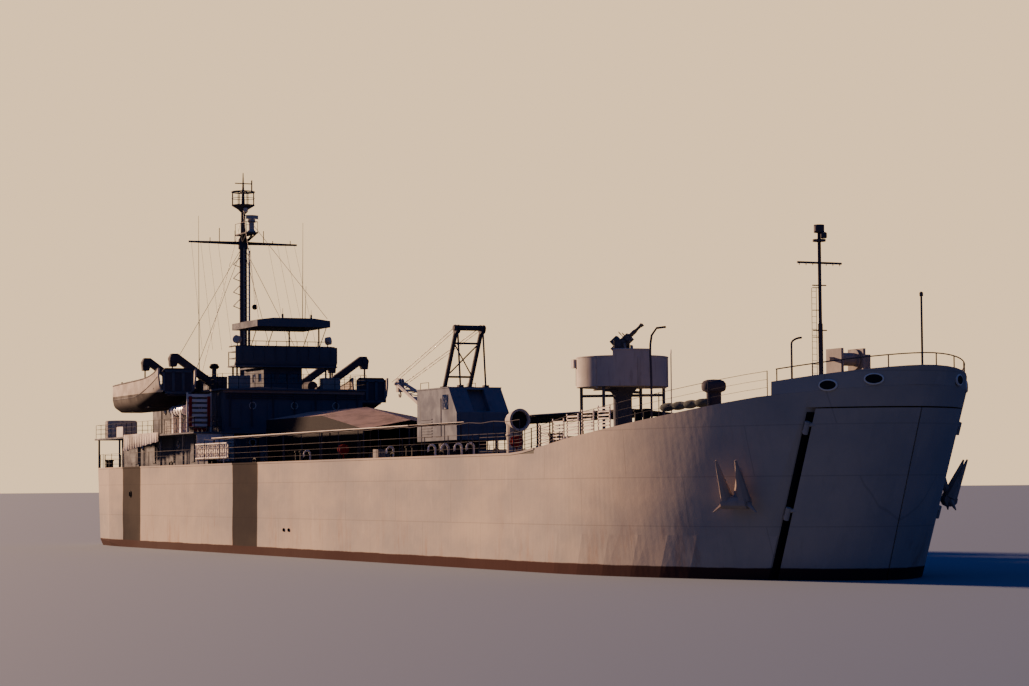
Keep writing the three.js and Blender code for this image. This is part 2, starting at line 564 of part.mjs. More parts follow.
function buildCanopy() {
  const c = CANOPY;
  const arch = alongShip([
    [-c.half, c.under], [c.half, c.under], [c.half, c.top - 0.15], [c.half * 0.55, c.top], [-c.half * 0.55, c.top],
    [-c.half, c.top - 0.15],
  ], c.x0, c.x1);
  const skin = 0.08;
  const lining = block(c.x0 + skin, c.x1 - skin, -c.half + skin, c.half - skin, c.under - 1, c.top - 0.27);
  const foreX = BRIDGE.x1 - 0.5;
  const feet = SIDES.flatMap(([, side]) => [[c.x0 + 0.2, side * c.aftPostY], [foreX, side * (c.half - 0.12)]]);
  const posts = feet.map(([x, y]) => drum(x, y, BRIDGE.floor + GAP, c.top - 0.2, c.post, 6));
  piece('bridge_canopy', join(cut(arch, lining), ...posts), 0x5c6068);
}

function buildMainMast() {
  const m = MAIN_MAST;
  const l = LANTERN_PLATFORM;
  const r = RADAR_PLATFORM;
  const platform = acrossShip([
    [m.x - l.aft, l.z], [m.x, l.z - 0.7], [m.x + 0.5, l.z - 0.5], [m.x + l.ahead, l.z], [m.x + l.ahead, l.z + 0.1],
    [m.x - l.aft, l.z + 0.1],
  ], -l.half, l.half);
  piece('main_mast', join(
    drum(m.x, 0, ROOF_Z + GAP, m.yardZ + 0.3, m.radius, 10),
    drum(m.x, 0, m.yardZ, m.waist, m.topRadius, 8),
    drum(m.x, 0, m.waist - 0.2, m.top, m.spike, 6),
    rod([m.x, -m.yardHalf, m.yardZ], [m.x, m.yardHalf, m.yardZ], m.yard, 6),
    platform,
    drum(m.x, 0, r.low, r.high, r.neck, 10, r.rim),
    drum(m.x, 0, r.hoopZ, r.hoopZ + 0.1, r.rim, 10),
    drum(m.x + l.lantern[0], l.lantern[1], l.z + 0.05, l.lanternTop, 0.14, 8)), 0x4b4a50);
}

function buildForeMast() {
  const f = FORE_MAST;
  const fore = join(
    drum(f.x, 0, deckTop(f.x) - 0.5, f.waist, f.radius, 8),
    drum(f.x, 0, f.waist - 0.1, f.top - 0.2, f.upper, 8),
    rod([f.x, -f.yardHalf, f.yardZ], [f.x, f.yardHalf, f.yardZ], 0.05, 6),
    drum(f.x, 0, f.top - 0.75, f.top - 0.65, 0.3, 8),
    drum(f.x, 0, f.top - 0.35, f.top, 0.24, 8));
  piece('fore_mast', seated(fore), 0x5d5b5e);
  const j = JACKSTAFF;
  piece('jackstaff', seated(drum(j.x, 0, 9.8, j.top, j.radius, 6)), 0x5d5b5e);
  const curve = new THREE.CatmullRomCurve3(LAMP_POST.curve.map((p) => new THREE.Vector3(...p)));
  const angles = Array.from({ length: 6 }, (_, n) => n * Math.PI / 3);
  const ring = outline(angles.map((a) => [LAMP_POST.radius * Math.cos(a), LAMP_POST.radius * Math.sin(a)]));
  const post = new THREE.ExtrudeGeometry(ring, { steps: 14, bevelEnabled: false, extrudePath: curve });
  piece('lamp_post', seated(post), 0x5d5b5e);
}

function buildForwardTub() {
  const t = TUB;
  const bowl = cut(
    drum(t.x, 0, t.floor, t.top + TUB_SCREEN.rise, t.radius, t.sides),
    drum(t.x, 0, t.floor + t.plate, t.top + 1, t.radius - t.wall, t.sides));
  const ahead = (angle) => [t.x + 2 * t.radius * Math.cos(angle), 2 * t.radius * Math.sin(angle)];
  const wedge = new THREE.ExtrudeGeometry(outline([[t.x, 0], ahead(TUB_SCREEN.from), ahead(TUB_SCREEN.to)]),
    { depth: 1, bevelEnabled: false }).translate(0, 0, t.top);
  const rest = cut(block(t.x - 4, t.x + 4, -4, 4, t.top, t.top + 1), wedge);
  piece('forward_gun_tub', cut(bowl, rest), 0x8f8b84);

  const leg = TUB_LEG;
  const legs = [[1, 1], [1, -1], [-1, 1], [-1, -1]].map(([along, across]) => (
    drum(t.x + along * leg.ahead, across * leg.y, DECK_Z + GAP, t.floor - GAP, leg.radius, 6)));
  const ties = leg.ties.map(([across, drop]) => {
    const z = t.floor - drop;
    return rod([t.x - leg.ahead, across * leg.y, z], [t.x + leg.ahead, -across * leg.y, z], leg.tie, 6);
  });
  const c = TUB_COLUMN;
  const column = join(
    drum(t.x, 0, DECK_Z + GAP, t.floor - c.flareHeight, c.radius, 18),
    drum(t.x, 0, t.floor - c.flareHeight, t.floor - GAP, c.radius, 18, c.flare));
  piece('gun_tub_pedestal', join(column, ...legs, ...ties), 0x6f7076);
}

function buildGun() {
  const t = TUB;
  const c = CRADLE;
  const floor = t.floor + t.plate + GAP;
  const cheeks = [[-c.cheekOuter, -c.cheek], [c.cheek, c.cheekOuter]].map(([y0, y1]) => (
    block(t.x - 0.3, t.x + 0.3, y0, y1, floor + 0.9, TRUNNION_Z + 0.2)));
  const carriage = join(
    drum(t.x, 0, floor, floor + 0.35, 0.75, 12),
    drum(t.x, 0, floor + 0.3, floor + 1.2, 0.4, 10),
    block(t.x - 0.3, t.x + 0.3, -c.cheekOuter, c.cheekOuter, floor + 0.9, floor + 1.15),
    ...cheeks);
  const aim = new THREE.Matrix4().makeTranslation(t.x, 0, 0);
  aim.multiply(new THREE.Matrix4().makeRotationZ(GUN_BEARING));
  aim.multiply(new THREE.Matrix4().makeTranslation(-t.x, 0, 0));
  piece('gun_carriage', carriage.applyMatrix4(aim), 0x55565c, 0.5, 0.5);

  const barrels = [-BARREL.spacing, BARREL.spacing].map((y) => (
    rod([c.fore - 0.1, y, BARREL.z], [BARREL.length, y, BARREL.z], BARREL.radius, 8)));
  const cradle = join(
    block(c.aft, c.fore, -c.half, c.half, -c.depth, c.depth),
    rod([0, -c.cheek + GAP, 0], [0, c.cheek - GAP, 0], 0.1, 12),
    ...barrels);
  cradle.rotateY(-GUN_ELEVATION).translate(t.x, 0, TRUNNION_Z);
  piece('gun_cradle', cradle.applyMatrix4(aim), 0x3f4046, 0.5, 0.6);
}

function buildSternTubs() {
  const s = STERN_TUB;
  for (const [tag, side] of SIDES) {
    const y = side * s.y;
    const wall = cut(
      drum(s.x, y, BOAT_DECK_Z + GAP, s.top, s.radius, 20),
      drum(s.x, y, BOAT_DECK_Z + s.plate, s.top + 1, s.radius - s.wall, 20));
    piece(`stern_tub_${tag}`, wall, 0xa9a193);
  }
}

// Landing boat: a nearly straight gunwale, and a keel and chine that rise to the square bow
const boatHalf = (s) => BOAT.half * (0.92 + 0.3 * s - 0.36 * s * s);

function boatRing(s, inset, topLift) {
  const x = BOAT.x0 + s * (BOAT.x1 - BOAT.x0);
  const half = boatHalf(s) - inset;
  const keel = BOAT.keel + 0.95 * Math.max(0, (s - 0.5) * 2) ** 1.5 + inset;
  const gunwale = BOAT.keel + BOAT.gunwale + 0.25 * s + 0.6 * s ** 8 + topLift;
  const chine = keel + 0.85 + 0.35 * s ** 4;
  const port = [[half * 0.55, keel], [half * 0.92, keel + 0.35], [half, chine], [half, gunwale]];
  return [...port, ...port.map(([y, z]) => [-y, z]).reverse()].map(([y, z]) => [x, y, z]);
}

function buildBoats() {
  const steps = [0, 0.25, 0.5, 0.7, 0.8, 0.9, 1];
  const inside = [0.02, 0.25, 0.5, 0.7, 0.8, 0.9, 1.02];
  const r = BOAT_RAMP;
  const h = BOAT_HINGE;
  for (const [tag, side, drop] of SIDES) {
    const outside = loft(steps.map((s) => boatRing(s, 0, 0)));
    const shell = cut(outside, loft(inside.map((s) => boatRing(s, BOAT.wall, 1))));
    const beams = DAVIT_X.map((x) => {
      const reach = boatHalf((x - BOAT.x0) / (BOAT.x1 - BOAT.x0)) - 0.05;
      return block(x - BOAT_BEAM.half, x + BOAT_BEAM.half, -reach, reach, BOAT_BEAM.z0, BOAT_BEAM.z1);
    });
    const lugs = [-h.half - h.lug, h.half].map((y) => join(
      rod([h.x, y, h.z], [h.x, y + h.lug, h.z], h.radius, 12),
      block(h.x - 0.3, h.x, y, y + h.lug, h.z - 0.04, h.z + 0.04)));
    piece(`landing_boat_${tag}`, join(shell, ...beams, ...lugs).translate(0, side * BOAT.y, -drop), 0xa39a8e);

    const panel = [
      [-r.half + r.corner, r.z0], [r.half - r.corner, r.z0], [r.half, r.z0 + r.corner], [r.half, r.z1 - r.corner],
      [r.half - r.corner, r.z1], [-r.half + r.corner, r.z1], [-r.half, r.z1 - r.corner], [-r.half, r.z0 + r.corner],
    ];
    const face = join(
      alongShip(panel, BOAT.x1 + r.ahead, BOAT.x1 + r.ahead + r.thickness),
      rod([h.x, -h.half + GAP, h.z], [h.x, h.half - GAP, h.z], h.radius, 12),
      block(h.x - 0.035, h.x + 0.035, -h.half + 0.05, h.half - 0.05, h.z, r.z0 + 0.05));
    piece(`boat_ramp_${tag}`, face.translate(0, side * BOAT.y, -drop), 0x6f7076);
  }
}

function buildDavits() {
  const arm = [
    [3.4, ROOF_Z + GAP], [4.3, ROOF_Z + GAP], [4.45, 13.2], [6.75, 14.8], [6.85, 14.5], [7.3, 14.5], [7.35, 15.1],
    [7.2, 15.4], [6.75, 15.4], [3.75, 13.3], [3.4, 13.15],
  ];
  for (const [tag, side, drop] of SIDES) {
    for (const [end, x] of [['aft', DAVIT_X[0]], ['forward', DAVIT_X[1]]]) {
      const y = side * BOAT.y;
      const beam = alongShip(mirrorPort(arm, side), x - DAVIT_WIDTH / 2, x + DAVIT_WIDTH / 2);
      const fall = drum(x, y, BOAT_BEAM.z1 + GAP - drop, FALL.top, FALL.radius, 6);
      const blockLow = block(x - 0.1, x + 0.1, y - FALL.block, y + FALL.block, 13.3 - drop, 13.75 - drop);
      piece(`davit_${end}_${tag}`, join(beam, fall, blockLow), 0x4b4a50);
    }
  }
}

function buildCraneHouse() {
  const h = CRANE_HOUSE;
  const b = CRANE_BASE;
  piece('crane_base', join(
    drum(CRANE_X, 0, DECK_Z + GAP, DECK_Z + b.footTop, b.foot, 20),
    drum(CRANE_X, 0, DECK_Z + b.footTop - 0.05, h.bottom - GAP, b.drum, 20)), 0x5b5c60);
  const body = acrossShip([
    [h.x0, h.bottom], [h.x1, h.bottom], [h.x1, h.knee], [h.eaves, h.top], [h.x0, h.top],
  ], -h.half, h.half);
  const bay = acrossShip([
    [h.x1 + 0.2, h.knee + 0.05], [h.x1 + 0.2, h.top - 0.12], [h.eaves - 0.4, h.top - 0.12],
    [h.eaves + 0.45, h.knee + 0.05],
  ], ...h.bay);
  const f = BOOM_FOOT;
  const lugs = SIDES.map(([, side]) => block(
    f.x - 0.2, h.x0 + 0.1, side * f.lug - 0.1, side * f.lug + 0.1, f.z - 0.25, f.z + 0.25));
  piece('crane_house', join(cut(body, bay), ...lugs), 0x76777a);
}

function buildCraneGear() {
  const roof = CRANE_HOUSE.top + GAP;
  const g = GANTRY_TOP;
  const bars = SIDES.flatMap(([, side]) => GANTRY_LEGS.flatMap(({ x, radius, pad, back }) => [
    rod([x, side * g.y, roof + 0.1], [g.x + back, side * g.y, g.z - back], radius, 6),
    block(x - pad, x + pad, side * g.y - pad, side * g.y + pad, roof, roof + 0.15),
  ]));
  const crosses = SIDES.map(([, side]) => {
    const y = side * (g.y - 0.05);
    return rod([52.45 + side * 0.05, y, 12.58], [53.42 + side * 0.05, -y, 14.33], 0.04, 6);
  });
  const across = GANTRY_BARS.map(([x, z]) => rod([x, -g.y, z], [x, g.y, z], 0.06, 8));
  const head = rod([g.x - 0.02, -g.y - 0.2, g.z - 0.03], [g.x - 0.02, g.y + 0.2, g.z - 0.03], 0.16, 8);
  piece('crane_gantry', join(...bars, ...crosses, ...across, head), 0x4b4245);

  const f = BOOM_FOOT;
  const t = BOOM_TIP;
  const pin = rod([f.x, -f.lug + 0.1 + GAP, f.z], [f.x, f.lug - 0.1 - GAP, f.z], f.pin, 12);
  const chords = SIDES.map(([, side]) => rod([f.x, side * f.reach, f.z], [t.x, side * t.reach, t.z], 0.1, 6));
  const rungs = BOOM_BARS.map(([part, width]) => {
    const x = f.x + part * (t.x - f.x);
    const z = f.z + part * (t.z - f.z);
    return rod([x, -width, z], [x, width, z], 0.08, 6);
  });
  const hook = block(t.x - 0.12, t.x + 0.22, -0.2, 0.2, t.z - 0.55, t.z);
  piece('crane_boom', join(pin, ...chords, ...rungs, hook), 0x4b4245);
}

function buildVents() {
  const c = COWL;
  const m = MUSHROOM;
  for (const [tag, side] of SIDES) {
    const y = side * c.y;
    const dome = new THREE.SphereGeometry(c.head, 12, 8).translate(c.x, y, c.z);
    const mouth = rod([c.x, y, c.z + 0.02], [c.x + 0.7, y, c.z + 0.02], c.head - 0.01, 16, c.rim);
    const bore = rod([c.x + 0.05, y, c.z + 0.02], [c.x + 1, y, c.z + 0.02], c.bore, 12, c.boreRim);
    const neck = drum(c.x, y, DECK_Z + GAP, c.z, c.neck, 12);
    piece(`cowl_vent_${tag}`, cut(join(neck, dome, mouth), bore), 0xa39a8e);
    const mushroom = join(
      drum(m.x, side * m.y, 8.5, m.z + 0.05, m.neck, 14),
      drum(m.x, side * m.y, m.z, m.top, m.cap, 14, m.cap - 0.1));
    piece(`mushroom_vent_${tag}`, seated(mushroom), 0x5b5c60);
  }
}

// Frame on the bow's port side: ahead along the plating, out of it and up it
function bowFrame(step, z) {
  const at = new THREE.Vector3(...bowPoint(step, z));
  const ahead = new THREE.Vector3(...bowPoint(step + 0.02, z)).sub(at).normalize();
  const up = new THREE.Vector3(bowLine(step).rake, 0, 1);
  const out = up.cross(ahead).normalize();
  return new THREE.Matrix4().makeBasis(ahead, out, ahead.clone().cross(out)).setPosition(at);
}

// Stockless anchor drawn up to its hawse: crown, shank, two flukes that lean out and two pointed arms
function buildAnchors() {
  const pairs = [1, -1].flatMap((end) => [
    rod([end * 0.42, 0.55, -0.35], [end * 0.5, 0.95, 1.45], 0.3, 7, 0.04),
    rod([end * 0.55, 0.55, -0.48], [end * 1.1, 0.75, -0.85], 0.14, 6, 0.03),
  ]);
  const anchor = join(
    rod([-0.62, 0.55, -0.45], [0.62, 0.55, -0.45], 0.3, 10),
    rod([0, 0.5, -0.35], [0, -0.1, 0.9], 0.14, 8),
    ...pairs);
  anchor.applyMatrix4(bowFrame(ANCHOR.step, ANCHOR.z));
  const mirrored = flipped(anchor.clone().scale(1, -1, 1));
  piece('anchor_port', cut(anchor, hullBody().translate(0, GAP, 0)), 0x5a5350);
  piece('anchor_starboard', cut(mirrored, hullBody().translate(0, -GAP, 0)), 0x5a5350);
}

function buildWinches() {
  const w = WINDLASS;
  piece('windlass', seated(join(
    block(w.x0, w.x1, -w.half, w.half, w.bottom, w.top),
    rod([w.drumX, -w.half - 0.4, w.drumZ], [w.drumX, w.half + 0.4, w.drumZ], w.drum, 12),
    block(w.drumX - 0.4, w.drumX + 0.4, -0.3, 0.3, w.top - 0.05, w.top + 0.8))), 0x5b5c60);
  const s = STERN_WINCH;
  piece('stern_winch', join(
    block(s.x0, s.x1, -s.half, s.half, DECK_Z + GAP, s.base),
    rod([s.drumX, -s.half + 0.2, s.drumZ], [s.drumX, s.half - 0.2, s.drumZ], s.drum, 14),
    block(s.x0 + 0.3, s.x1 - 0.3, -s.half, -s.half + 0.2, s.base - 0.05, s.cheek),
    block(s.x0 + 0.3, s.x1 - 0.3, s.half - 0.2, s.half, s.base - 0.05, s.cheek)), 0x5b5c60);
}

function buildLiferafts() {
  const l = LIFERAFT;
  for (const [tag, side, drop] of SIDES) {
    const y = side * l.y;
    const z = l.z - drop;
    const cradles = l.cradles.map((x) => (
      block(x, x + l.cradle, y - l.cradle, y + l.cradle, BOAT_DECK_Z + GAP, z - 0.1)));
    piece(`liferaft_${tag}`, join(rod([l.x0, y, z], [l.x1, y, z], l.radius, 12), ...cradles), 0xe6ddcf);
  }
}

function buildHatch() {
  const h = HATCH;
  piece('cargo_hatch', join(
    block(h.x0, h.x1, -h.half, h.half, DECK_Z + GAP, h.coaming),
    block(h.x0 - h.lip, h.x1 + h.lip, -h.half - h.lip, h.half + h.lip, h.coaming - 0.1, h.top)), 0x85806f);
  const t = TENT;
  const foot = DECK_Z + GAP;
  const within = t.half - t.cloth;
  const section = ([x, ridge]) => {
    const eaves = ridge - t.eaves;
    const outer = [[t.half, foot], [t.half, eaves], [0, ridge], [-t.half, eaves], [-t.half, foot]];
    const inner = [[within, foot], [within, eaves - t.cloth], [0, ridge - t.cloth],
      [-within, eaves - t.cloth], [-within, foot]];
    return outer.slice(1).map((corner, n) => (
      [outer[n], corner, inner[n + 1], inner[n]].map(([y, z]) => [x, y, z])));
  };
  const sections = t.ridge.map(section);
  const plates = sections.slice(1).flatMap((fore, n) => fore.map((ring, k) => loft([sections[n][k], ring])));
  piece('hatch_tent', join(...plates), 0xa98f80, 0.9, 0);
}

function buildAwnings() {
  for (const { tag, x0, x1, outer, inner, colour } of AWNINGS) {
    const slope = Math.atan2(inner.z - outer.z, Math.abs(inner.y - outer.y));
    const drop = CANVAS_THICKNESS / Math.cos(slope);
    const sheet = [[inner.y, inner.z], [inner.y, inner.z - drop], [outer.y, outer.z - drop], [outer.y, outer.z]];
    piece(`awning_${tag}`, alongShip(sheet, x0, x1), colour, 0.9, 0);

    const seat = drop + (AWNING_BAR + GAP) / Math.cos(slope);
    const pitch = (x1 - x0 - 2 * AWNING_INSET) / AWNING_BAYS;
    const inward = Math.sign(inner.y - outer.y);
    const edges = [outer.y + inward * AWNING_INSET, inner.y - inward * AWNING_INSET].map((y) => (
      { y, z: outer.z - seat + Math.abs(y - outer.y) * Math.tan(slope) }));
    const frame = edges.map(({ y, z }) => rod([x0 + AWNING_INSET, y, z], [x1 - AWNING_INSET, y, z], AWNING_BAR, 6));
    for (let n = 0; n <= AWNING_BAYS; n += 1) {
      const x = x0 + AWNING_INSET + n * pitch;
      frame.push(rod([x, edges[0].y, edges[0].z], [x, edges[1].y, edges[1].z], AWNING_BAR, 6));
      frame.push(...edges.map(({ y, z }) => drum(x, y, DECK_Z + GAP, z, AWNING_POST, 6)));
    }
    piece(`awning_frame_${tag}`, join(...frame), 0x6f7076);
  }
}

// A plate of square cells, some left open, drawn flat in (step, height) and bent onto the ship
// by place(step, height, depth)
function lattice(columns, rows, filled, thickness, place) {
  const wide = columns.length;
  const tall = rows.length;
  const position = [-0.5, 0.5].flatMap((face) => (
    rows.flatMap((h) => columns.flatMap((s) => place(s, h, face * thickness)))));
  const corner = (i, j, face) => (face * tall + j) * wide + i;
  const full = (i, j) => i >= 0 && j >= 0 && i < wide - 1 && j < tall - 1 && filled(i, j);
  const index = [];
  const quad = (a, b, c, d) => index.push(a, b, c, a, c, d);
  for (let i = 0; i < wide - 1; i += 1) {
    for (let j = 0; j < tall - 1; j += 1) {
      if (full(i, j)) {
        quad(corner(i, j, 0), corner(i + 1, j, 0), corner(i + 1, j + 1, 0), corner(i, j + 1, 0));
        quad(corner(i, j, 1), corner(i, j + 1, 1), corner(i + 1, j + 1, 1), corner(i + 1, j, 1));
        if (!full(i, j - 1)) {
          quad(corner(i, j, 0), corner(i, j, 1), corner(i + 1, j, 1), corner(i + 1, j, 0));
        }
        if (!full(i, j + 1)) {
          quad(corner(i, j + 1, 0), corner(i + 1, j + 1, 0), corner(i + 1, j + 1, 1), corner(i, j + 1, 1));
        }
        if (!full(i - 1, j)) {
          quad(corner(i, j, 0), corner(i, j + 1, 0), corner(i, j + 1, 1), corner(i, j, 1));
        }
        if (!full(i + 1, j)) {
          quad(corner(i + 1, j, 0), corner(i + 1, j, 1), corner(i + 1, j + 1, 1), corner(i + 1, j + 1, 0));
        }
      }
    }
  }
  const geometry = new THREE.BufferGeometry();
  geometry.setAttribute('position', new THREE.Float32BufferAttribute(position, 3));
  geometry.setIndex(index);
  const welded = mergeVertices(geometry, 1e-5);
  return signedVolume(welded) < 0 ? flipped(welded) : welded;
}

// A rail of posts and two bars
function railing(first, last, bays, place) {
  const pitch = (last - first - RAIL.post) / bays;
  const columns = Array.from({ length: bays + 1 }, (_, n) => [first + n * pitch, first + n * pitch + RAIL.post]);
  const rows = RAIL.bars.flatMap((z) => [z - RAIL.bar, z]);
  return lattice(columns.flat(), [0, ...rows], (i, j) => i % 2 === 0 || j === 1 || j === 3, RAIL.bar, place);
}

// Breadth of the deck edge at a distance x from the stern
const deckEdge = (x) => {
  if (x < 82) {
    return readTable([[-1, 6.2], [0, 6.4], [2.6, 7.25], [6.6, HALF_BEAM], [83, HALF_BEAM]], x);
  }
  const rows = BOW_STEPS.map((step) => {
    const { foot, rake } = bowLine(step);
    return [foot + rake * deckHeight(foot, rake), bowBreadth(step)];
  });
  return readTable([[0, HALF_BEAM], ...rows], x);
};

function buildRails() {
  for (const [tag, side] of SIDES) {
    const rail = railing(RAIL.x0, RAIL.x1, RAIL.bays, (x, h, d) => (
      [x, side * (deckEdge(x) - RAIL.inset + d), deckTop(x) + GAP + h]));
    piece(`side_rail_${tag}`, rail, 0xb9b2a6);
  }
}

// A point set in from the bow's plating by a depth
function setIn(step, z, side, depth) {
  const here = bowPoint(step, z, side);
  const next = new THREE.Vector3(...bowPoint(Math.min(1, step + 0.01), z, side));
  const before = new THREE.Vector3(...bowPoint(step - 0.01, z, side));
  const ahead = next.sub(before).normalize();
  return [here[0] + side * ahead.y * depth, here[1] - side * ahead.x * depth, z];
}

// The bulwark stands upright aft and takes the stem's rake at the stem
function buildBulwark() {
  const { steps, aft, rise, thickness } = BULWARK;
  const walk = [...steps.map((step) => [step, 1]), ...[...steps].reverse().map((step) => [step, -1])];
  const rings = walk.map(([step, side]) => {
    const { foot, rake } = bowLine(step);
    const edge = deckHeight(foot, rake);
    const high = aft + rise * (step - steps[0]) / (1 - steps[0]);
    const lean = rake * step ** 8;
    const corner = (top, depth) => {
      const [x, y] = setIn(step, edge, side, depth);
      const low = deckTop(x) + GAP;
      return top ? [x + lean * (high - low), y, high] : [x, y, low];
    };
    return [corner(false, 0), corner(true, 0), corner(true, thickness), corner(false, thickness)];
  });
  piece('bow_bulwark', loft(rings), 0xa39a8e);
}

buildHull();
buildBowDoors();
buildRamp();
buildScrewsAndRudders();
buildHouses();
buildPilothouse();
buildBridge();
buildCanopy();
buildMainMast();
buildForeMast();
buildForwardTub();
buildGun();
buildSternTubs();
buildBoats();
buildDavits();
buildCraneHouse();
buildCraneGear();
buildVents();
buildAnchors();
buildWinches();
buildLiferafts();
buildHatch();
buildAwnings();
buildRails();
buildBulwark();

export default root;
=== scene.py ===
"""Looks of a beaching landing ship, a 1:10 model with its bow doors, crane, gun tub, boats and awnings.

Sizes and places are in metres of the full-size ship, with x from the stern, y to port and z up from the
keel. One function brings them to the model's frame, where the middle of the length is the origin.
"""
import json
import logging
import math
from collections.abc import Iterable
from dataclasses import dataclass, field
from enum import Enum

import bmesh
import bpy
import numpy as np
from mathutils import Matrix, Vector

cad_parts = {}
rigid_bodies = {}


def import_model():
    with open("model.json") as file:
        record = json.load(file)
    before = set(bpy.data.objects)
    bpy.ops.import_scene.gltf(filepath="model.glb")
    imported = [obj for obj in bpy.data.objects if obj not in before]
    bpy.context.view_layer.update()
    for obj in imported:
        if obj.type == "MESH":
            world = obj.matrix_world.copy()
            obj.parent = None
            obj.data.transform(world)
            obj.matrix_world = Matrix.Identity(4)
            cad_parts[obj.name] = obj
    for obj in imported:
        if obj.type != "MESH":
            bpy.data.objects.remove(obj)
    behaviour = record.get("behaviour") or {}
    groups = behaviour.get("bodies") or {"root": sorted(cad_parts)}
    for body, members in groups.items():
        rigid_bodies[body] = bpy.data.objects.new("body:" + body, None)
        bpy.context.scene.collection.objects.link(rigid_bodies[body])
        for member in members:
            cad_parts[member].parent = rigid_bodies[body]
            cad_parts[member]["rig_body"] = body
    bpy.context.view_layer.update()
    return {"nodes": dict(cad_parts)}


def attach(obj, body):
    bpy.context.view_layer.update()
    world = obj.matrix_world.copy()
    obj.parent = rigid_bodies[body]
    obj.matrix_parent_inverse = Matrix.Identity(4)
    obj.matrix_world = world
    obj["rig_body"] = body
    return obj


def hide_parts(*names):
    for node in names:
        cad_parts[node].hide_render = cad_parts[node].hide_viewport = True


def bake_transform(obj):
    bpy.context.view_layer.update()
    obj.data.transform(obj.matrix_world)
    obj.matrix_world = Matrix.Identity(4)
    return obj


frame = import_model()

LOG = logging.getLogger("landing_ship")

# Scale of the model and the hull's driving sizes
MODEL_SCALE = 0.1
MID_LENGTH = 49.95
HALF_BEAM = 7.62
DECK_Z = 7.67
WATERLINE = 2.016
BOOT_TOP = 2.531
BOAT_DECK_Z = 9.92
ROOF_Z = 12.85
SHIP = "ship"

Array = np.ndarray
SIDES = (1, -1)
TAGS = {1: "port", -1: "starboard"}
UP = np.array([0.0, 0.0, 1.0])


def to_model(points: Array) -> Array:
    """Brings full-size points to the model's frame: (x - middle of the length, y, z) times the scale.

    Args:
        points: Rows of x, y, z in metres of the full-size ship.

    Returns:
        Rows of x, y, z in metres of the model.
    """
    return (np.asarray(points, float) - np.array([MID_LENGTH, 0.0, 0.0])) * MODEL_SCALE


def linear(hex_colour: str) -> tuple[float, float, float, float]:
    """Turns an sRGB hex colour to linear light, with full alpha."""
    channels = np.array([int(hex_colour[i:i + 2], 16) for i in (1, 3, 5)]) / 255.0
    curve = np.where(channels <= 0.04045, channels / 12.92, ((channels + 0.055) / 1.055) ** 2.4)
    return (*curve.tolist(), 1.0)


def mm(size: float) -> float:
    """A real size in millimetres as metres of the model."""
    return size / 1000.0 * MODEL_SCALE


# Shapes


@dataclass
class Shape:
    """Points and faces of one mesh, gathered from several parts."""

    points: list[Array] = field(default_factory=list)
    faces: list[Array] = field(default_factory=list)
    count: int = 0

    def add(self, points: Array, *faces: Array) -> "Shape":
        """Adds one part.

        Args:
            points: Rows of x, y, z in full-size metres.
            faces: Arrays of corner numbers, one row a face, counted from this part's first point.

        Returns:
            The shape itself, so that calls can follow each other.
        """
        flat = np.asarray(points, float).reshape(-1, 3)
        self.points.append(flat)
        self.faces.extend(np.asarray(face, np.int64) + self.count for face in faces)
        self.count += len(flat)
        return self

    def take(self, other: "Shape") -> "Shape":
        """Adds all of another shape's parts."""
        self.points.extend(other.points)
        self.faces.extend(face + self.count for face in other.faces)
        self.count += other.count
        return self

    def moved(self, shift: Array) -> "Shape":
        """Shifts every point by one vector."""
        self.points = [points + shift for points in self.points]
        return self

    def mesh(self, name: str) -> bpy.types.Mesh:
        """Makes the mesh at model scale, with its faces turned outwards.

        Args:
            name: The mesh's name.

        Returns:
            The new mesh.
        """
        made = bpy.data.meshes.new(name)
        points = to_model(np.concatenate(self.points))
        loops = np.concatenate([face.ravel() for face in self.faces])
        sizes = np.concatenate([np.full(len(face), face.shape[1]) for face in self.faces])
        starts = np.concatenate([[0], np.cumsum(sizes)[:-1]])
        made.vertices.add(len(points))
        made.vertices.foreach_set("co", points.astype(np.float32).ravel())
        made.loops.add(len(loops))
        made.loops.foreach_set("vertex_index", loops.astype(np.int32))
        made.polygons.add(len(sizes))
        made.polygons.foreach_set("loop_start", starts.astype(np.int32))
        made.update(calc_edges=True)
        made.validate()
        work = bmesh.new()
        work.from_mesh(made)
        bmesh.ops.remove_doubles(work, verts=work.verts, dist=1e-6)
        bmesh.ops.recalc_face_normals(work, faces=work.faces)
        work.to_mesh(made)
        work.free()
        return made


def joined(shapes: Iterable[Shape]) -> Shape:
    """One shape of several, in their order."""
    whole = Shape()
    for shape in shapes:
        whole.take(shape)
    return whole


def rows_of(value: float | Array, count: int) -> Array:
    """One number or an array as a column of count numbers."""
    return np.broadcast_to(np.asarray(value, float).reshape(-1, 1), (count, 1))


def xyz(x: float | Array, y: float | Array, z: float | Array) -> Array:
    """Points from their three coordinates, each one number or an array of them."""
    return np.stack(np.broadcast_arrays(x, y, z), axis=-1).astype(float)


def unit(vectors: Array) -> Array:
    """Vectors brought to length one along their last axis."""
    return vectors / np.maximum(np.linalg.norm(vectors, axis=-1, keepdims=True), 1e-12)


def across(along: Array) -> tuple[Array, Array]:
    """Two unit vectors square to each direction: one level where it can be, and one square to both."""
    steep = np.abs(along[..., 2:3]) > 0.9
    helper = np.where(steep, np.array([1.0, 0.0, 0.0]), UP)
    side = unit(np.cross(along, helper))
    return side, np.cross(side, along)


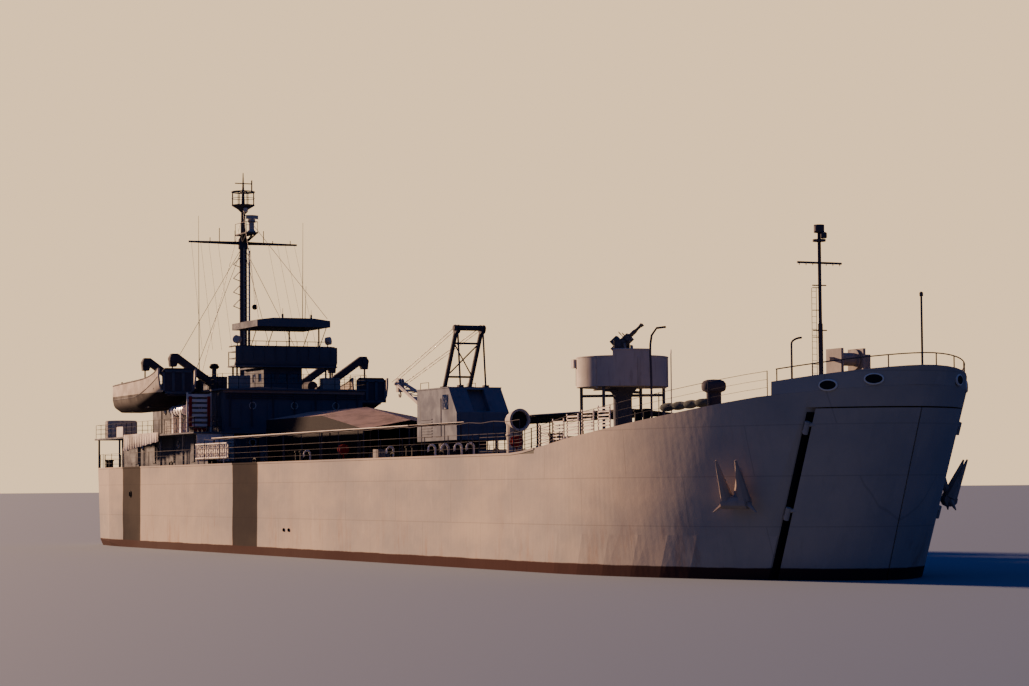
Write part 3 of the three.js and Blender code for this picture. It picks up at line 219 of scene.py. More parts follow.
def bars(starts: Array, ends: Array, radius: float | Array, sides: int = 8,
         end_radius: float | Array | None = None) -> Shape:
    """Straight round bars: start + r (cos a side + sin a up) carried to the end, and closed by flat caps.

    Args:
        starts: One row of x, y, z for each bar.
        ends: The bars' other ends.
        radius: Radius of all the bars, or one for each.
        sides: Faces round a bar.
        end_radius: Radius at the other end, where it tapers.

    Returns:
        The shape of all the bars.
    """
    first = np.atleast_2d(np.asarray(starts, float))
    last = np.atleast_2d(np.asarray(ends, float))
    first, last = np.broadcast_arrays(first, last)
    count = len(first)
    side, up = across(unit(last - first))
    angle = np.linspace(0, 2 * np.pi, sides, endpoint=False)
    ring = np.cos(angle)[:, None] * side[:, None, :] + np.sin(angle)[:, None] * up[:, None, :]
    low = first[:, None, :] + ring * rows_of(radius, count)[:, None, :]
    high = last[:, None, :] + ring * rows_of(radius if end_radius is None else end_radius, count)[:, None, :]
    points = np.concatenate([low, high], axis=1)
    base = (np.arange(count) * 2 * sides)[:, None]
    here = np.arange(sides)
    after = (here + 1) % sides
    walls = np.stack([here, after, after + sides, here + sides], axis=-1)
    caps = np.stack([here[::-1], here + sides])
    faces = [(part[None] + base[:, :, None]).reshape(-1, part.shape[1]) for part in (walls, caps)]
    return Shape().add(points, *faces)


def posts(feet: Array, height: float, radius: float, sides: int = 6) -> Shape:
    """Upright round bars of one height on their feet."""
    low = np.asarray(feet, float)
    return bars(low, low + height * UP, radius, sides)


def railing(start: Array, end: Array, bays: int, height: float, post: float, wire: float,
            lifts: tuple[float, ...] = (0.35, 0.68, 1.0), sides: int = 6) -> Shape:
    """Posts evenly spaced from start to end, with straight lines at their lifts above the foot.

    Args:
        start: Foot of the first post.
        end: Foot of the last post.
        bays: Number of bays.
        height: Height of the posts.
        post: Radius of the posts.
        wire: Radius of the lines.
        lifts: Heights of the lines above the foot.
        sides: Faces round a post.

    Returns:
        The railing's shape.
    """
    first, last = np.asarray(start, float), np.asarray(end, float)
    feet = first + (last - first) * np.linspace(0, 1, bays + 1)[:, None]
    lift = xyz(0, 0, lifts)
    return joined([posts(feet, height, post, sides), bars(first + lift, last + lift, wire, 6)])


def boxes(lows: Array, highs: Array) -> Shape:
    """Square blocks between lowest and highest corners, one row for each.

    Args:
        lows: Lowest corners.
        highs: Highest corners.

    Returns:
        The shape of all the blocks.
    """
    low = np.atleast_2d(np.asarray(lows, float))
    high = np.atleast_2d(np.asarray(highs, float))
    low, high = np.broadcast_arrays(low, high)
    pick = np.array([[0, 0, 0], [1, 0, 0], [1, 1, 0], [0, 1, 0], [0, 0, 1], [1, 0, 1], [1, 1, 1], [0, 1, 1]])
    points = low[:, None, :] * (1 - pick) + high[:, None, :] * pick
    sides = np.array([[0, 3, 2, 1], [4, 5, 6, 7], [0, 1, 5, 4], [1, 2, 6, 5], [2, 3, 7, 6], [3, 0, 4, 7]])
    base = (np.arange(len(low)) * 8)[:, None, None]
    return Shape().add(points, (sides[None] + base).reshape(-1, 4))


def blocks(lows: Array, sizes: Array) -> Shape:
    """Square blocks from their lowest corners and their sizes along x, y and z."""
    low = np.asarray(lows, float)
    return boxes(low, low + np.asarray(sizes, float))


def carried(path: Array, section: Array, first: Array, second: Array) -> Array:
    """Rings of a section (a, b) carried along a path: path + a first + b second."""
    return path[:, None, :] + section[..., 0:1] * first[:, None, :] + section[..., 1:2] * second[:, None, :]


def swept(path: Array, section: Array, closed: bool = False) -> Shape:
    """A closed section carried along a path: path + a side + b up, with side level and up square to it.

    Args:
        path: Points of the path in order.
        section: Rows of (a, b) round the section.
        closed: Whether the path joins up with its start.

    Returns:
        The shape of the swept bar.
    """
    line = np.asarray(path, float)
    if closed:
        along = unit(np.roll(line, -1, axis=0) - np.roll(line, 1, axis=0))
    else:
        along = unit(np.gradient(line, axis=0))
    side, up = across(along)
    flat = np.abs(along[:, 2]) > 0.9
    if flat.any() and not flat.all():
        plane = unit(np.cross(along[0], along[-1]) + 1e-9)
        side = np.broadcast_to(plane, along.shape)
        up = np.cross(side, along)
    return skinned(carried(line, section, side, up), closed)


def skinned(rings: Array, closed: bool = False) -> Shape:
    """Skin through rings of points (rings, points, 3), closed by flat ends or joined in a loop.

    Args:
        rings: The rings' points.
        closed: Whether the last ring joins the first.

    Returns:
        The skin's shape.
    """
    count, sides = rings.shape[:2]
    i = np.arange(count if closed else count - 1)[:, None]
    j = np.arange(sides)[None, :]
    nxt = (i + 1) % count
    quads = np.stack([i * sides + j, i * sides + (j + 1) % sides,
                      nxt * sides + (j + 1) % sides, nxt * sides + j], axis=-1).reshape(-1, 4)
    shape = Shape()
    if closed:
        return shape.add(rings, quads)
    ends = np.stack([np.arange(sides)[::-1], np.arange(sides) + (count - 1) * sides])
    return shape.add(rings, quads, ends)


def ring_section(radius: float, sides: int = 8) -> Array:
    """Rows of (a, b) round a circle."""
    angle = np.linspace(0, 2 * np.pi, sides, endpoint=False)
    return radius * np.stack([np.cos(angle), np.sin(angle)], axis=-1)


def tube(path: Array, radius: float, sides: int = 8, closed: bool = False) -> Shape:
    """A round bar along a path."""
    return swept(path, ring_section(radius, sides), closed)


def turned(profile: Array, centre: Array, axis: Array = (0, 0, 1), sides: int = 24) -> Shape:
    """A turned form: centre + h axis + r (cos a side + sin a up) for each (r, h) of the profile.

    Args:
        profile: Rows of radius and height from one end to the other, both ends closed by a flat.
        centre: The point where the height is zero.
        axis: The direction of the axis.
        sides: Faces round the axis.

    Returns:
        The shape of the turned form.
    """
    line = np.asarray(profile, float)
    direction = unit(np.asarray(axis, float))
    side, up = across(direction[None, :])
    angle = np.linspace(0, 2 * np.pi, sides, endpoint=False)
    ring = np.cos(angle)[:, None] * side + np.sin(angle)[:, None] * up
    rings = (np.asarray(centre, float) + line[:, 1][:, None, None] * direction
             + line[:, 0][:, None, None] * ring[None])
    return skinned(rings)


def hoop(centre: Array, radius: float, wire: float, axis: Array = (0, 0, 1), sides: int = 24,
         start: float = 0.0, sweep: float = 360.0) -> Shape:
    """A round bar bent to a circle, or to an arc of sweep degrees that begins at start degrees.

    Args:
        centre: Middle of the circle.
        radius: Radius of the circle.
        wire: Radius of the bar.
        axis: Direction square to the circle.
        sides: Steps round the circle.
        start: Where an arc begins, in degrees.
        sweep: How far it goes round, in degrees.

    Returns:
        The bar's shape.
    """
    direction = unit(np.asarray(axis, float))
    side, up = across(direction[None, :])
    whole = sweep >= 360.0
    angle = np.radians(start) + np.linspace(0, np.radians(sweep), sides, endpoint=not whole)
    out = np.cos(angle)[:, None] * side + np.sin(angle)[:, None] * up
    path = np.asarray(centre, float) + radius * out
    return skinned(carried(path, ring_section(wire), out, np.broadcast_to(direction, path.shape)), whole)


def cells(rows: int, columns: int) -> Array:
    """Corner numbers of the four-sided cells of a grid of points, counted row by row."""
    i, j = np.meshgrid(np.arange(rows - 1), np.arange(columns - 1), indexing="ij")
    a = (i * columns + j).ravel()
    return np.stack([a, a + 1, a + columns + 1, a + columns], axis=-1)


def panel(points: Array, thickness: float) -> Shape:
    """A closed plate on a grid of points (rows, columns, 3), thickened along its own normals.

    Args:
        points: The grid's points.
        thickness: Thickness of the plate.

    Returns:
        The plate's shape.
    """
    grid = np.asarray(points, float)
    du = np.gradient(grid, axis=1)
    dv = np.gradient(grid, axis=0)
    normal = unit(np.cross(du, dv))
    rows, columns = grid.shape[:2]
    both = np.concatenate([grid - normal * thickness / 2, grid + normal * thickness / 2]).reshape(-1, 3)
    faces = cells(rows, columns)
    shift = rows * columns
    edge = np.concatenate([
        np.arange(columns), np.arange(1, rows) * columns + columns - 1,
        (rows - 1) * columns + np.arange(columns - 2, -1, -1), np.arange(rows - 2, 0, -1) * columns])
    after = np.roll(edge, -1)
    rim = np.stack([edge, edge + shift, after + shift, after], axis=-1)
    return Shape().add(both, faces[:, ::-1], faces + shift, rim)


def ladder(foot: Array, head: Array, width: float, pitch: float = 0.3, bar: float = 0.03,
           across_dir: Array = (0, 1, 0)) -> Shape:
    """Two stringers and evenly spaced rungs from foot to head.

    Args:
        foot: Middle of the ladder's foot.
        head: Middle of its head.
        width: Distance of the stringers.
        pitch: Distance of the rungs.
        bar: Radius of the stringers.
        across_dir: Direction along the rungs.

    Returns:
        The ladder's shape.
    """
    low, high = np.asarray(foot, float), np.asarray(head, float)
    half = unit(np.asarray(across_dir, float)) * width / 2
    share = np.arange(pitch / 2, np.linalg.norm(high - low), pitch)[:, None] / np.linalg.norm(high - low)
    middle = low + (high - low) * share
    shape = bars(np.stack([low - half, low + half]), np.stack([high - half, high + half]), bar, 6)
    return shape.take(bars(middle - half, middle + half, bar * 0.7, 6))


# The hull's lines, the same as in the part


class HullLines:
    """Deck edge and bow surface of the hull."""

    steps = np.array([
        0, 0.12, 0.24, 0.36, 0.47, 0.57, 0.66, 0.735, 0.799, 0.823, 0.875, 0.92, 0.955, 0.983, 1.0])
    sheer_x = np.array([0, 76, 78.7, 80.8, 85, 89.2, 91.2, 93, 94.6, 95.8, 97.2, 100.5])
    sheer_z = np.array([DECK_Z, DECK_Z, 7.96, 8.25, 8.68, 9.15, 9.39, 9.61, 9.8, 9.89, 9.98, 10.25])
    fullness = 1.73
    deck_fullness = 1.96
    flare_z = 10.0
    shoulder_x = 79.5
    shoulder_rake = 0.25
    stem_x = 95.62
    stem_rake = 0.389

    @classmethod
    def share(cls, step: Array) -> Array:
        """Share of the full breadth on a bow line: (1 - t^n)^(1/n)."""
        inner = np.clip(1 - np.asarray(step, float) ** cls.fullness, 0, 1)
        return inner ** (1 / cls.fullness)

    @classmethod
    def breadth(cls, step: Array) -> Array:
        """Half breadth of the bow: half beam times its share, never quite nothing."""
        return np.maximum(0.02, HALF_BEAM * cls.share(step))

    @classmethod
    def rake(cls, step: Array) -> tuple[Array, Array]:
        """Foot and slope of a bow line.

        The feet lie evenly between shoulder and stem, and at the height of the flare the line has reached
        the deck's own curve, where the way ahead is (1 - breadth^m)^(1/m) of the way to the stem.
        """
        t = np.asarray(step, float)
        foot = cls.shoulder_x + t * (cls.stem_x - cls.shoulder_x)
        aft = cls.shoulder_x + cls.shoulder_rake * cls.flare_z
        fore = cls.stem_x + cls.stem_rake * cls.flare_z
        ahead = np.clip(1 - cls.share(t) ** cls.deck_fullness, 0, 1) ** (1 / cls.deck_fullness)
        return foot, (aft + ahead * (fore - aft) - foot) / cls.flare_z

    @classmethod
    def bow(cls, step: Array, z: Array, side: float = 1.0) -> Array:
        """A point of the bow plating: x = foot(t) + rake(t) z, y = half breadth(t)."""
        t, height = np.broadcast_arrays(np.asarray(step, float), np.asarray(z, float))
        foot, rake = cls.rake(t)
        return xyz(foot + rake * height, side * cls.breadth(t), height)

    @classmethod
    def deck_z(cls, x: Array) -> Array:
        """Height of the deck at a distance from the stern."""
        return np.interp(x, cls.sheer_x, cls.sheer_z)

    @classmethod
    def bow_deck(cls, step: Array) -> Array:
        """Height of the deck edge on a bow line, found by repeating z = sheer(foot + rake z)."""
        t = np.asarray(step, float)
        z = np.full(t.shape, DECK_Z)
        for _ in range(12):
            z = cls.deck_z(cls.bow(t, z)[..., 0])
        return z

    @classmethod
    def edge_y(cls, x: Array) -> Array:
        """Half breadth of the deck edge at a distance from the stern."""
        bow_x = cls.bow(cls.steps, cls.bow_deck(cls.steps))[:, 0]
        xs = np.concatenate([[-1, 0, 2.6, 6.6], bow_x])
        ys = np.concatenate([[6.2, 6.4, 7.25, HALF_BEAM], cls.breadth(cls.steps)])
        return np.interp(x, xs, ys)

    @classmethod
    def bulwark_top(cls, step: Array) -> Array:
        """Height of the bow bulwark, rising evenly from its aft end to the stem."""
        return 10.42 + 0.57 * (np.asarray(step, float) - 0.7) / 0.3

    @classmethod
    def bulwark(cls, step: Array, z: Array, side: float = 1.0) -> Array:
        """A point of the bulwark, upright aft and raked at the stem: x = deck edge + rake t^8 (z - deck).

        Args:
            step: Place along the bow line, 0 aft and 1 at the stem.
            z: Height.
            side: 1 for port and -1 for starboard.

        Returns:
            The point, or an array of points.
        """
        t, height = np.broadcast_arrays(np.asarray(step, float), np.asarray(z, float))
        deck = cls.bow_deck(t)
        foot = cls.bow(t, deck)
        lean = cls.rake(t)[1] * t ** 8 * (height - deck)
        return xyz(foot[..., 0] + lean, side * foot[..., 1], height)


# Materials


class Nodes:
    """A material's node tree with one function that adds a node with its settings and links."""

    def __init__(self, name: str) -> None:
        """Starts an empty material with its shader and output."""
        self.material = bpy.data.materials.new(name)
        self.material.use_nodes = True
        self.tree = self.material.node_tree
        self.tree.nodes.clear()
        self.shader = self.add("ShaderNodeBsdfPrincipled")
        output = self.add("ShaderNodeOutputMaterial")
        self.tree.links.new(self.shader.outputs[0], output.inputs[0])
        self.place = self.add("ShaderNodeTexCoord").outputs["Object"]

    def add(self, kind: str, inputs: dict | None = None, **settings: object) -> bpy.types.Node:
        """Adds one node.

        Args:
            kind: The node's type.
            inputs: Values or output sockets for its inputs, by name or number.
            settings: The node's own properties.

        Returns:
            The new node.
        """
        node = self.tree.nodes.new(kind)
        for name, value in settings.items():
            setattr(node, name, value)
        for key, value in (inputs or {}).items():
            if isinstance(value, bpy.types.NodeSocket):
                self.tree.links.new(value, node.inputs[key])
            else:
                node.inputs[key].default_value = value
        return node

    def stretched(self, x: float, y: float, z: float) -> bpy.types.NodeSocket:
        """The piece's own coordinates, scaled along each axis."""
        return self.add("ShaderNodeMapping", {"Vector": self.place, "Scale": (x, y, z)}).outputs[0]

    def noise(self, size: float, place: bpy.types.NodeSocket | None = None, detail: float = 4.0,
              rough: float = 0.6) -> bpy.types.NodeSocket:
        """Cloudy noise with features of one real size, in metres of the model."""
        node = self.add("ShaderNodeTexNoise", {
            "Vector": place or self.place, "Scale": 1.0 / size, "Detail": detail, "Roughness": rough})
        return node.outputs[0]

    def ramp(self, value: bpy.types.NodeSocket, low: float, high: float, start: float = 0.0,
             end: float = 1.0) -> bpy.types.NodeSocket:
        """Smooth change from start to end as the value goes from low to high."""
        node = self.add("ShaderNodeMapRange", {
            0: value, 1: low, 2: high, 3: start, 4: end}, interpolation_type="SMOOTHSTEP")
        return node.outputs[0]

    def math(self, how: str, a: object, b: object = 0.0) -> bpy.types.NodeSocket:
        """One arithmetic step."""
        return self.add("ShaderNodeMath", {0: a, 1: b}, operation=how).outputs[0]

    def blend(self, share: object, first: object, second: object) -> bpy.types.NodeSocket:
        """Colour that goes from first to second by a share."""
        node = self.add("ShaderNodeMix", {0: share, 6: first, 7: second}, data_type="RGBA")
        return node.outputs[2]

    def bump(self, height: bpy.types.NodeSocket, depth: float, below: bpy.types.NodeSocket | None = None
             ) -> bpy.types.NodeSocket:
        """Surface relief of one real depth, laid over another one.

        Args:
            height: The relief's height.
            depth: Its depth in metres of the model.
            below: Relief that it is laid over.

        Returns:
            The changed normal.
        """
        values = {"Height": height, "Distance": depth, "Strength": 1.0}
        if below is not None:
            values["Normal"] = below
        return self.add("ShaderNodeBump", values).outputs[0]

    def finish(self, colour: object, roughness: object, normal: bpy.types.NodeSocket | None = None,
               **plain: float) -> bpy.types.Material:
        """Joins colour, roughness and relief to the shader and returns the material.

        Args:
            colour: Colour, or a socket.
            roughness: Roughness, or a socket.
            normal: The relief.
            plain: Other inputs of the shader, with _ for a space.

        Returns:
            The material.
        """
        for key, value in {"Base Color": colour, "Roughness": roughness, "Normal": normal, **{
                k.replace("_", " "): v for k, v in plain.items()}}.items():
            if value is None:
                continue
            if isinstance(value, bpy.types.NodeSocket):
                self.tree.links.new(value, self.shader.inputs[key])
            else:
                self.shader.inputs[key].default_value = value
        return self.material


@dataclass(frozen=True)
class MattPaint:
    """Brushed ship's enamel on steel: dull, with bleached patches, dirt that runs down, rust specks, and
    where given a dark foot that is partly bottom paint and partly painted shade.
    """

    name: str
    colour: str
    grime: str = "#3a3733"
    rust: str = "#6b3f2c"
    patch_mm: float = 900.0
    streaks: float = 0.35
    wear: float = 0.25
    roughness: float = 0.8
    # Colour and height of a dark foot: bottom paint deepened into painted shade of the underside
    low: str = ""
    paint_and_shade_line_mm: float = 0.0

    def build(self) -> bpy.types.Material:
        """Makes the material."""
        n = Nodes(self.name)
        patches = n.noise(mm(self.patch_mm), detail=5)
        tone = n.ramp(patches, 0.3, 0.7, 0.0, 0.55)
        base = n.blend(tone, linear(self.colour), shade(self.colour, 0.8))
        if self.low:
            # A boat's bottom is dark up to a straight line: partly its bottom paint, partly painted shade of
            # the underside that faces down
            height = n.add("ShaderNodeSeparateXYZ", {0: n.place}).outputs[2]
            below = n.ramp(height, mm(self.paint_and_shade_line_mm - 15), mm(self.paint_and_shade_line_mm + 15), 1.0, 0.0)
            base = n.blend(below, base, linear(self.low))
        runs = n.noise(mm(260), n.stretched(1, 1, 0.12), detail=6)
        base = n.blend(n.ramp(runs, 0.52, 0.78, 0.0, self.streaks), base, linear(self.grime))
        specks = n.noise(mm(70), detail=8, rough=0.75)
        base = n.blend(n.ramp(specks, 0.66, 0.74, 0.0, self.wear), base, linear(self.rust))
        # Brush marks and chipped coats stand about half a millimetre proud, drawn coarser to show
        relief = n.bump(n.noise(mm(40), detail=6), mm(2.0))
        relief = n.bump(patches, mm(8.0), relief)
        rough = n.ramp(patches, 0.3, 0.7, self.roughness - 0.08, self.roughness + 0.12)
        return n.finish(base, rough, relief, IOR=1.5, Specular_IOR_Level=0.04)


def shade(hex_colour: str, factor: float) -> tuple[float, float, float, float]:
    """A colour made darker or lighter in linear light."""
    red, green, blue, alpha = linear(hex_colour)
    return (min(1.0, red * factor), min(1.0, green * factor), min(1.0, blue * factor), alpha)


@dataclass(frozen=True)
class SootBand:
    """A stretch of the starboard side blackened by an exhaust, from x0 to x1."""

    x0: float
    x1: float


@dataclass(frozen=True)
class HullPaint:
    """Weathered side paint over welded plates: seams, drawn-in frames, salt, rust and boot topping."""

    name: str = "weathered_hull_enamel"
    side: str = "#a79a8b"
    cool: str = "#8d8883"
    boot: str = "#3b2826"
    bottom: str = "#5d342d"
    soot: str = "#130e14"
    rust: str = "#80563f"
    bands: tuple[SootBand, ...] = (SootBand(10.2, 14.5), SootBand(34.2, 38.9))
    plate_length_mm: float = 7300.0
    strake_mm: float = 2150.0
    frame_mm: float = 610.0
    deck: str = ""

    def build(self) -> bpy.types.Material:
        """Makes the material."""
        n = Nodes(self.name)
        x, y, z = n.add("ShaderNodeSeparateXYZ", {0: n.place}).outputs
        clouds = n.noise(mm(5200), n.stretched(0.5, 1, 1), detail=6)
        base = n.blend(n.ramp(clouds, 0.35, 0.68), linear(self.side), linear(self.cool))
        runs = n.noise(mm(420), n.stretched(1, 1, 0.07), detail=7, rough=0.7)
        base = n.blend(n.ramp(runs, 0.5, 0.8, 0.0, 0.22), base, shade(self.cool, 0.62))
        salt = n.noise(mm(900), n.stretched(1, 1, 0.3), detail=8, rough=0.7)
        base = n.blend(n.ramp(salt, 0.58, 0.72, 0.0, 0.25), base, shade(self.side, 1.25))
        # Bleeding rust sits low on the side and under fittings
        low = n.ramp(z, mm(BOOT_TOP * 1000), mm(5200), 1.0, 0.12)
        bleed = n.ramp(n.noise(mm(1500), n.stretched(1, 1, 0.22), detail=9, rough=0.75), 0.5, 0.7)
        base = n.blend(n.math("MULTIPLY", n.math("MULTIPLY", bleed, low), 0.5), base, linear(self.rust))
        base = self.seams(n, base)
        base = self.dirty(n, base, x, y)
        edge = n.noise(mm(1800), n.stretched(1, 1, 0.2))
        ragged = n.math("ADD", z, n.ramp(edge, 0.3, 0.7, -mm(15), mm(15)))
        under = n.ramp(ragged, mm(BOOT_TOP * 1000 - 30), mm(BOOT_TOP * 1000 + 30), 1.0, 0.0)
        base = n.blend(under, base, linear(self.boot))
        deep = n.ramp(z, mm(WATERLINE * 1000 - 260), mm(WATERLINE * 1000 - 200), 1.0, 0.0)
        base = n.blend(deep, base, linear(self.bottom))
        if self.deck:
            # The side's paint stops at the deck's face, where the grey deck paint begins
            base = n.blend(n.ramp(z, mm(7661), mm(7665)), base, linear(self.deck))
        relief = n.bump(self.ripple(n), mm(1.4))
        relief = n.bump(n.noise(mm(2300), detail=3), mm(26.0), relief)
        relief = n.bump(n.noise(mm(150), detail=7), mm(3.0), relief)
        # Chalked by sun and salt, the paint has lost most of its gloss
        rough = n.ramp(clouds, 0.3, 0.7, 0.84, 0.95)
        return n.finish(base, rough, relief, IOR=1.5, Specular_IOR_Level=0.01)

    def ripple(self, n: Nodes) -> bpy.types.NodeSocket:
        """Plating drawn in between its frames: a shallow wave along the hull, broken by the strakes."""
        wave = n.add("ShaderNodeTexWave", {
            "Vector": n.place, "Scale": 1.0 / mm(self.frame_mm) / 6.2832 * 3.1416, "Distortion": 1.2,
            "Detail": 2.0, "Detail Scale": 0.6}, bands_direction="X").outputs[1]
        mask = n.ramp(n.noise(mm(2600), detail=3), 0.35, 0.65)
        return n.math("MULTIPLY", wave, mask)

    def bricks(self, n: Nodes, gap_mm: float) -> bpy.types.NodeSocket:
        """Lines between the hull's plates, seen from the side: 0 on a seam and 1 on a plate.

        Args:
            n: The material's nodes.
            gap_mm: Width of a seam at full size.

        Returns:
            The lines.
        """
        turned_place = n.add("ShaderNodeMapping", {
            "Vector": n.place, "Rotation": (math.radians(-90), 0, 0)}).outputs[0]
        node = n.add("ShaderNodeTexBrick", {
            "Vector": turned_place, "Color1": (1, 1, 1, 1), "Color2": (1, 1, 1, 1), "Mortar": (0, 0, 0, 1),
            "Scale": 1.0, "Mortar Size": mm(gap_mm), "Mortar Smooth": 0.6,
            "Brick Width": mm(self.plate_length_mm), "Row Height": mm(self.strake_mm)})
        return node.outputs[0]

    def seams(self, n: Nodes, base: bpy.types.NodeSocket) -> bpy.types.NodeSocket:
        """Darkens the welds between the plates."""
        lines = n.math("SUBTRACT", 1.0, self.bricks(n, 34))
        return n.blend(n.math("MULTIPLY", lines, 0.32), base, shade(self.cool, 0.55))

    def dirty(self, n: Nodes, base: bpy.types.NodeSocket, x: bpy.types.NodeSocket,
              y: bpy.types.NodeSocket) -> bpy.types.NodeSocket:
        """Lays the exhausts' soot on the starboard side, from the deck down to the water.

        Args:
            n: The material's nodes.
            base: The colour below.
            x: Place along the hull.
            y: Place across it.

        Returns:
            The colour with the soot.
        """
        starboard = n.ramp(y, -mm(5500), -mm(4500), 1.0, 0.0)
        edge = n.ramp(n.noise(mm(700), n.stretched(1, 1, 0.15), detail=5), 0.3, 0.7, -mm(90), mm(90))
        along = n.math("ADD", x, edge)
        for band in self.bands:
            start, end = (to_model(np.array([[band.x0, 0, 0], [band.x1, 0, 0]]))[:, 0]).tolist()
            rise = n.ramp(along, start - mm(70), start + mm(70))
            fall = n.ramp(along, end - mm(110), end + mm(110), 1.0, 0.0)
            inside = n.math("MULTIPLY", n.math("MULTIPLY", rise, fall), starboard)
            base = n.blend(n.math("MULTIPLY", inside, 0.93), base, linear(self.soot))
        return base


@dataclass(frozen=True)
class DeckPaint:
    """Non-slip deck paint with grit rolled in: very matt, walked pale in the middle, stained and rusty."""

    name: str = "gritted_deck_paint"
    colour: str = "#5f5f5a"
    stain: str = "#3d3a36"
    grit_mm: float = 25.0

    def build(self) -> bpy.types.Material:
        """Makes the material. The real grit is 1 mm, drawn 25 mm so that it shows."""
        n = Nodes(self.name)
        puddles = n.noise(mm(2400), detail=6)
        base = n.blend(n.ramp(puddles, 0.42, 0.66), linear(self.colour), linear(self.stain))
        walked = n.noise(mm(5200), n.stretched(0.3, 1, 1), detail=3)
        base = n.blend(n.ramp(walked, 0.5, 0.7, 0.0, 0.5), base, shade(self.colour, 1.4))
        rust = n.noise(mm(350), detail=8, rough=0.75)
        base = n.blend(n.ramp(rust, 0.63, 0.72, 0.0, 0.6), base, linear("#6b4632"))
        grit = n.noise(mm(self.grit_mm), detail=2)
        return n.finish(base, 0.88, n.bump(grit, mm(3.0)), IOR=1.45)


@dataclass(frozen=True)
class Canvas:
    """Woven cotton duck: plain weave, sun-bleached on its folds, damp marks, soft sheen at grazing angles,
    and where given painted shade on its upright sides.
    """

    name: str
    colour: str
    stain: str
    thread_mm: float = 30.0
    # Colour of the painted shade on upright faces
    walls: str = ""

    def build(self) -> bpy.types.Material:
        """Makes the material. The real threads are 1 mm apart, drawn 30 mm apart so that the weave shows."""
        n = Nodes(self.name)
        marks = n.noise(mm(1100), detail=6)
        base = n.blend(n.ramp(marks, 0.4, 0.66), linear(self.colour), linear(self.stain))
        dust = n.noise(mm(240), detail=7)
        base = n.blend(n.ramp(dust, 0.5, 0.75, 0.0, 0.35), base, shade(self.colour, 1.25))
        if self.walls:
            # Painted shade: faces that stand upright, the hanging sides, are coloured nearly black for the
            # shade they are in
            normal = n.add("ShaderNodeNewGeometry").outputs["Normal"]
            level = n.add("ShaderNodeSeparateXYZ", {0: normal}).outputs[2]
            base = n.blend(n.ramp(level, 0.3, 0.7, 1.0, 0.0), base, linear(self.walls))
        pitch = 1.0 / mm(self.thread_mm) * 0.5
        warp = n.add("ShaderNodeTexWave", {"Vector": n.place, "Scale": pitch}, bands_direction="X").outputs[1]
        weft = n.add("ShaderNodeTexWave", {"Vector": n.place, "Scale": pitch}, bands_direction="Y").outputs[1]
        relief = n.bump(n.math("MULTIPLY", warp, weft), mm(2.0))
        relief = n.bump(n.noise(mm(500), detail=5), mm(20.0), relief)
        return n.finish(base, 0.95, relief, Sheen_Weight=0.03, Sheen_Roughness=0.6, Specular_IOR_Level=0.04)


@dataclass(frozen=True)
class Metal:
    """Bare cast or rolled metal: dull oxide over a worn bright ground, pitted."""

    name: str
    colour: str
    oxide: str
    roughness: float = 0.45
    metallic: float = 0.9
    pit_mm: float = 30.0

    def build(self) -> bpy.types.Material:
        """Makes the material."""
        n = Nodes(self.name)
        cloud = n.noise(mm(260), detail=6)
        base = n.blend(n.ramp(cloud, 0.38, 0.66), linear(self.colour), linear(self.oxide))
        relief = n.bump(n.noise(mm(self.pit_mm), detail=5), mm(2.5))
        rough = n.ramp(cloud, 0.35, 0.7, self.roughness, self.roughness + 0.3)
        return n.finish(base, rough, relief, Metallic=self.metallic)


@dataclass(frozen=True)
class RaftShell:
    """Gel-coated glass fibre: smooth white with a slight orange peel and grey weather marks."""

    name: str = "gel_coated_canister"
    colour: str = "#ded3c6"

    def build(self) -> bpy.types.Material:
        """Makes the material."""
        n = Nodes(self.name)
        dirt = n.noise(mm(420), detail=6)
        base = n.blend(n.ramp(dirt, 0.45, 0.75, 0.0, 0.5), linear(self.colour), linear("#8d8378"))
        peel = n.noise(mm(18), detail=2)
        return n.finish(base, 0.3, n.bump(peel, mm(0.8)), IOR=1.5, Coat_Weight=0.25)


@dataclass(frozen=True)
class Glazing:
    """Toughened window glass: nearly black as painted shade of the unlit cabin behind it, with clear
    reflections.
    """

    name: str = "glass_over_painted_shade"

    def build(self) -> bpy.types.Material:
        """Makes the material."""
        n = Nodes(self.name)
        smear = n.noise(mm(300), detail=4)
        return n.finish(linear("#141a20"), n.ramp(smear, 0.4, 0.7, 0.05, 0.2), None, IOR=1.52)


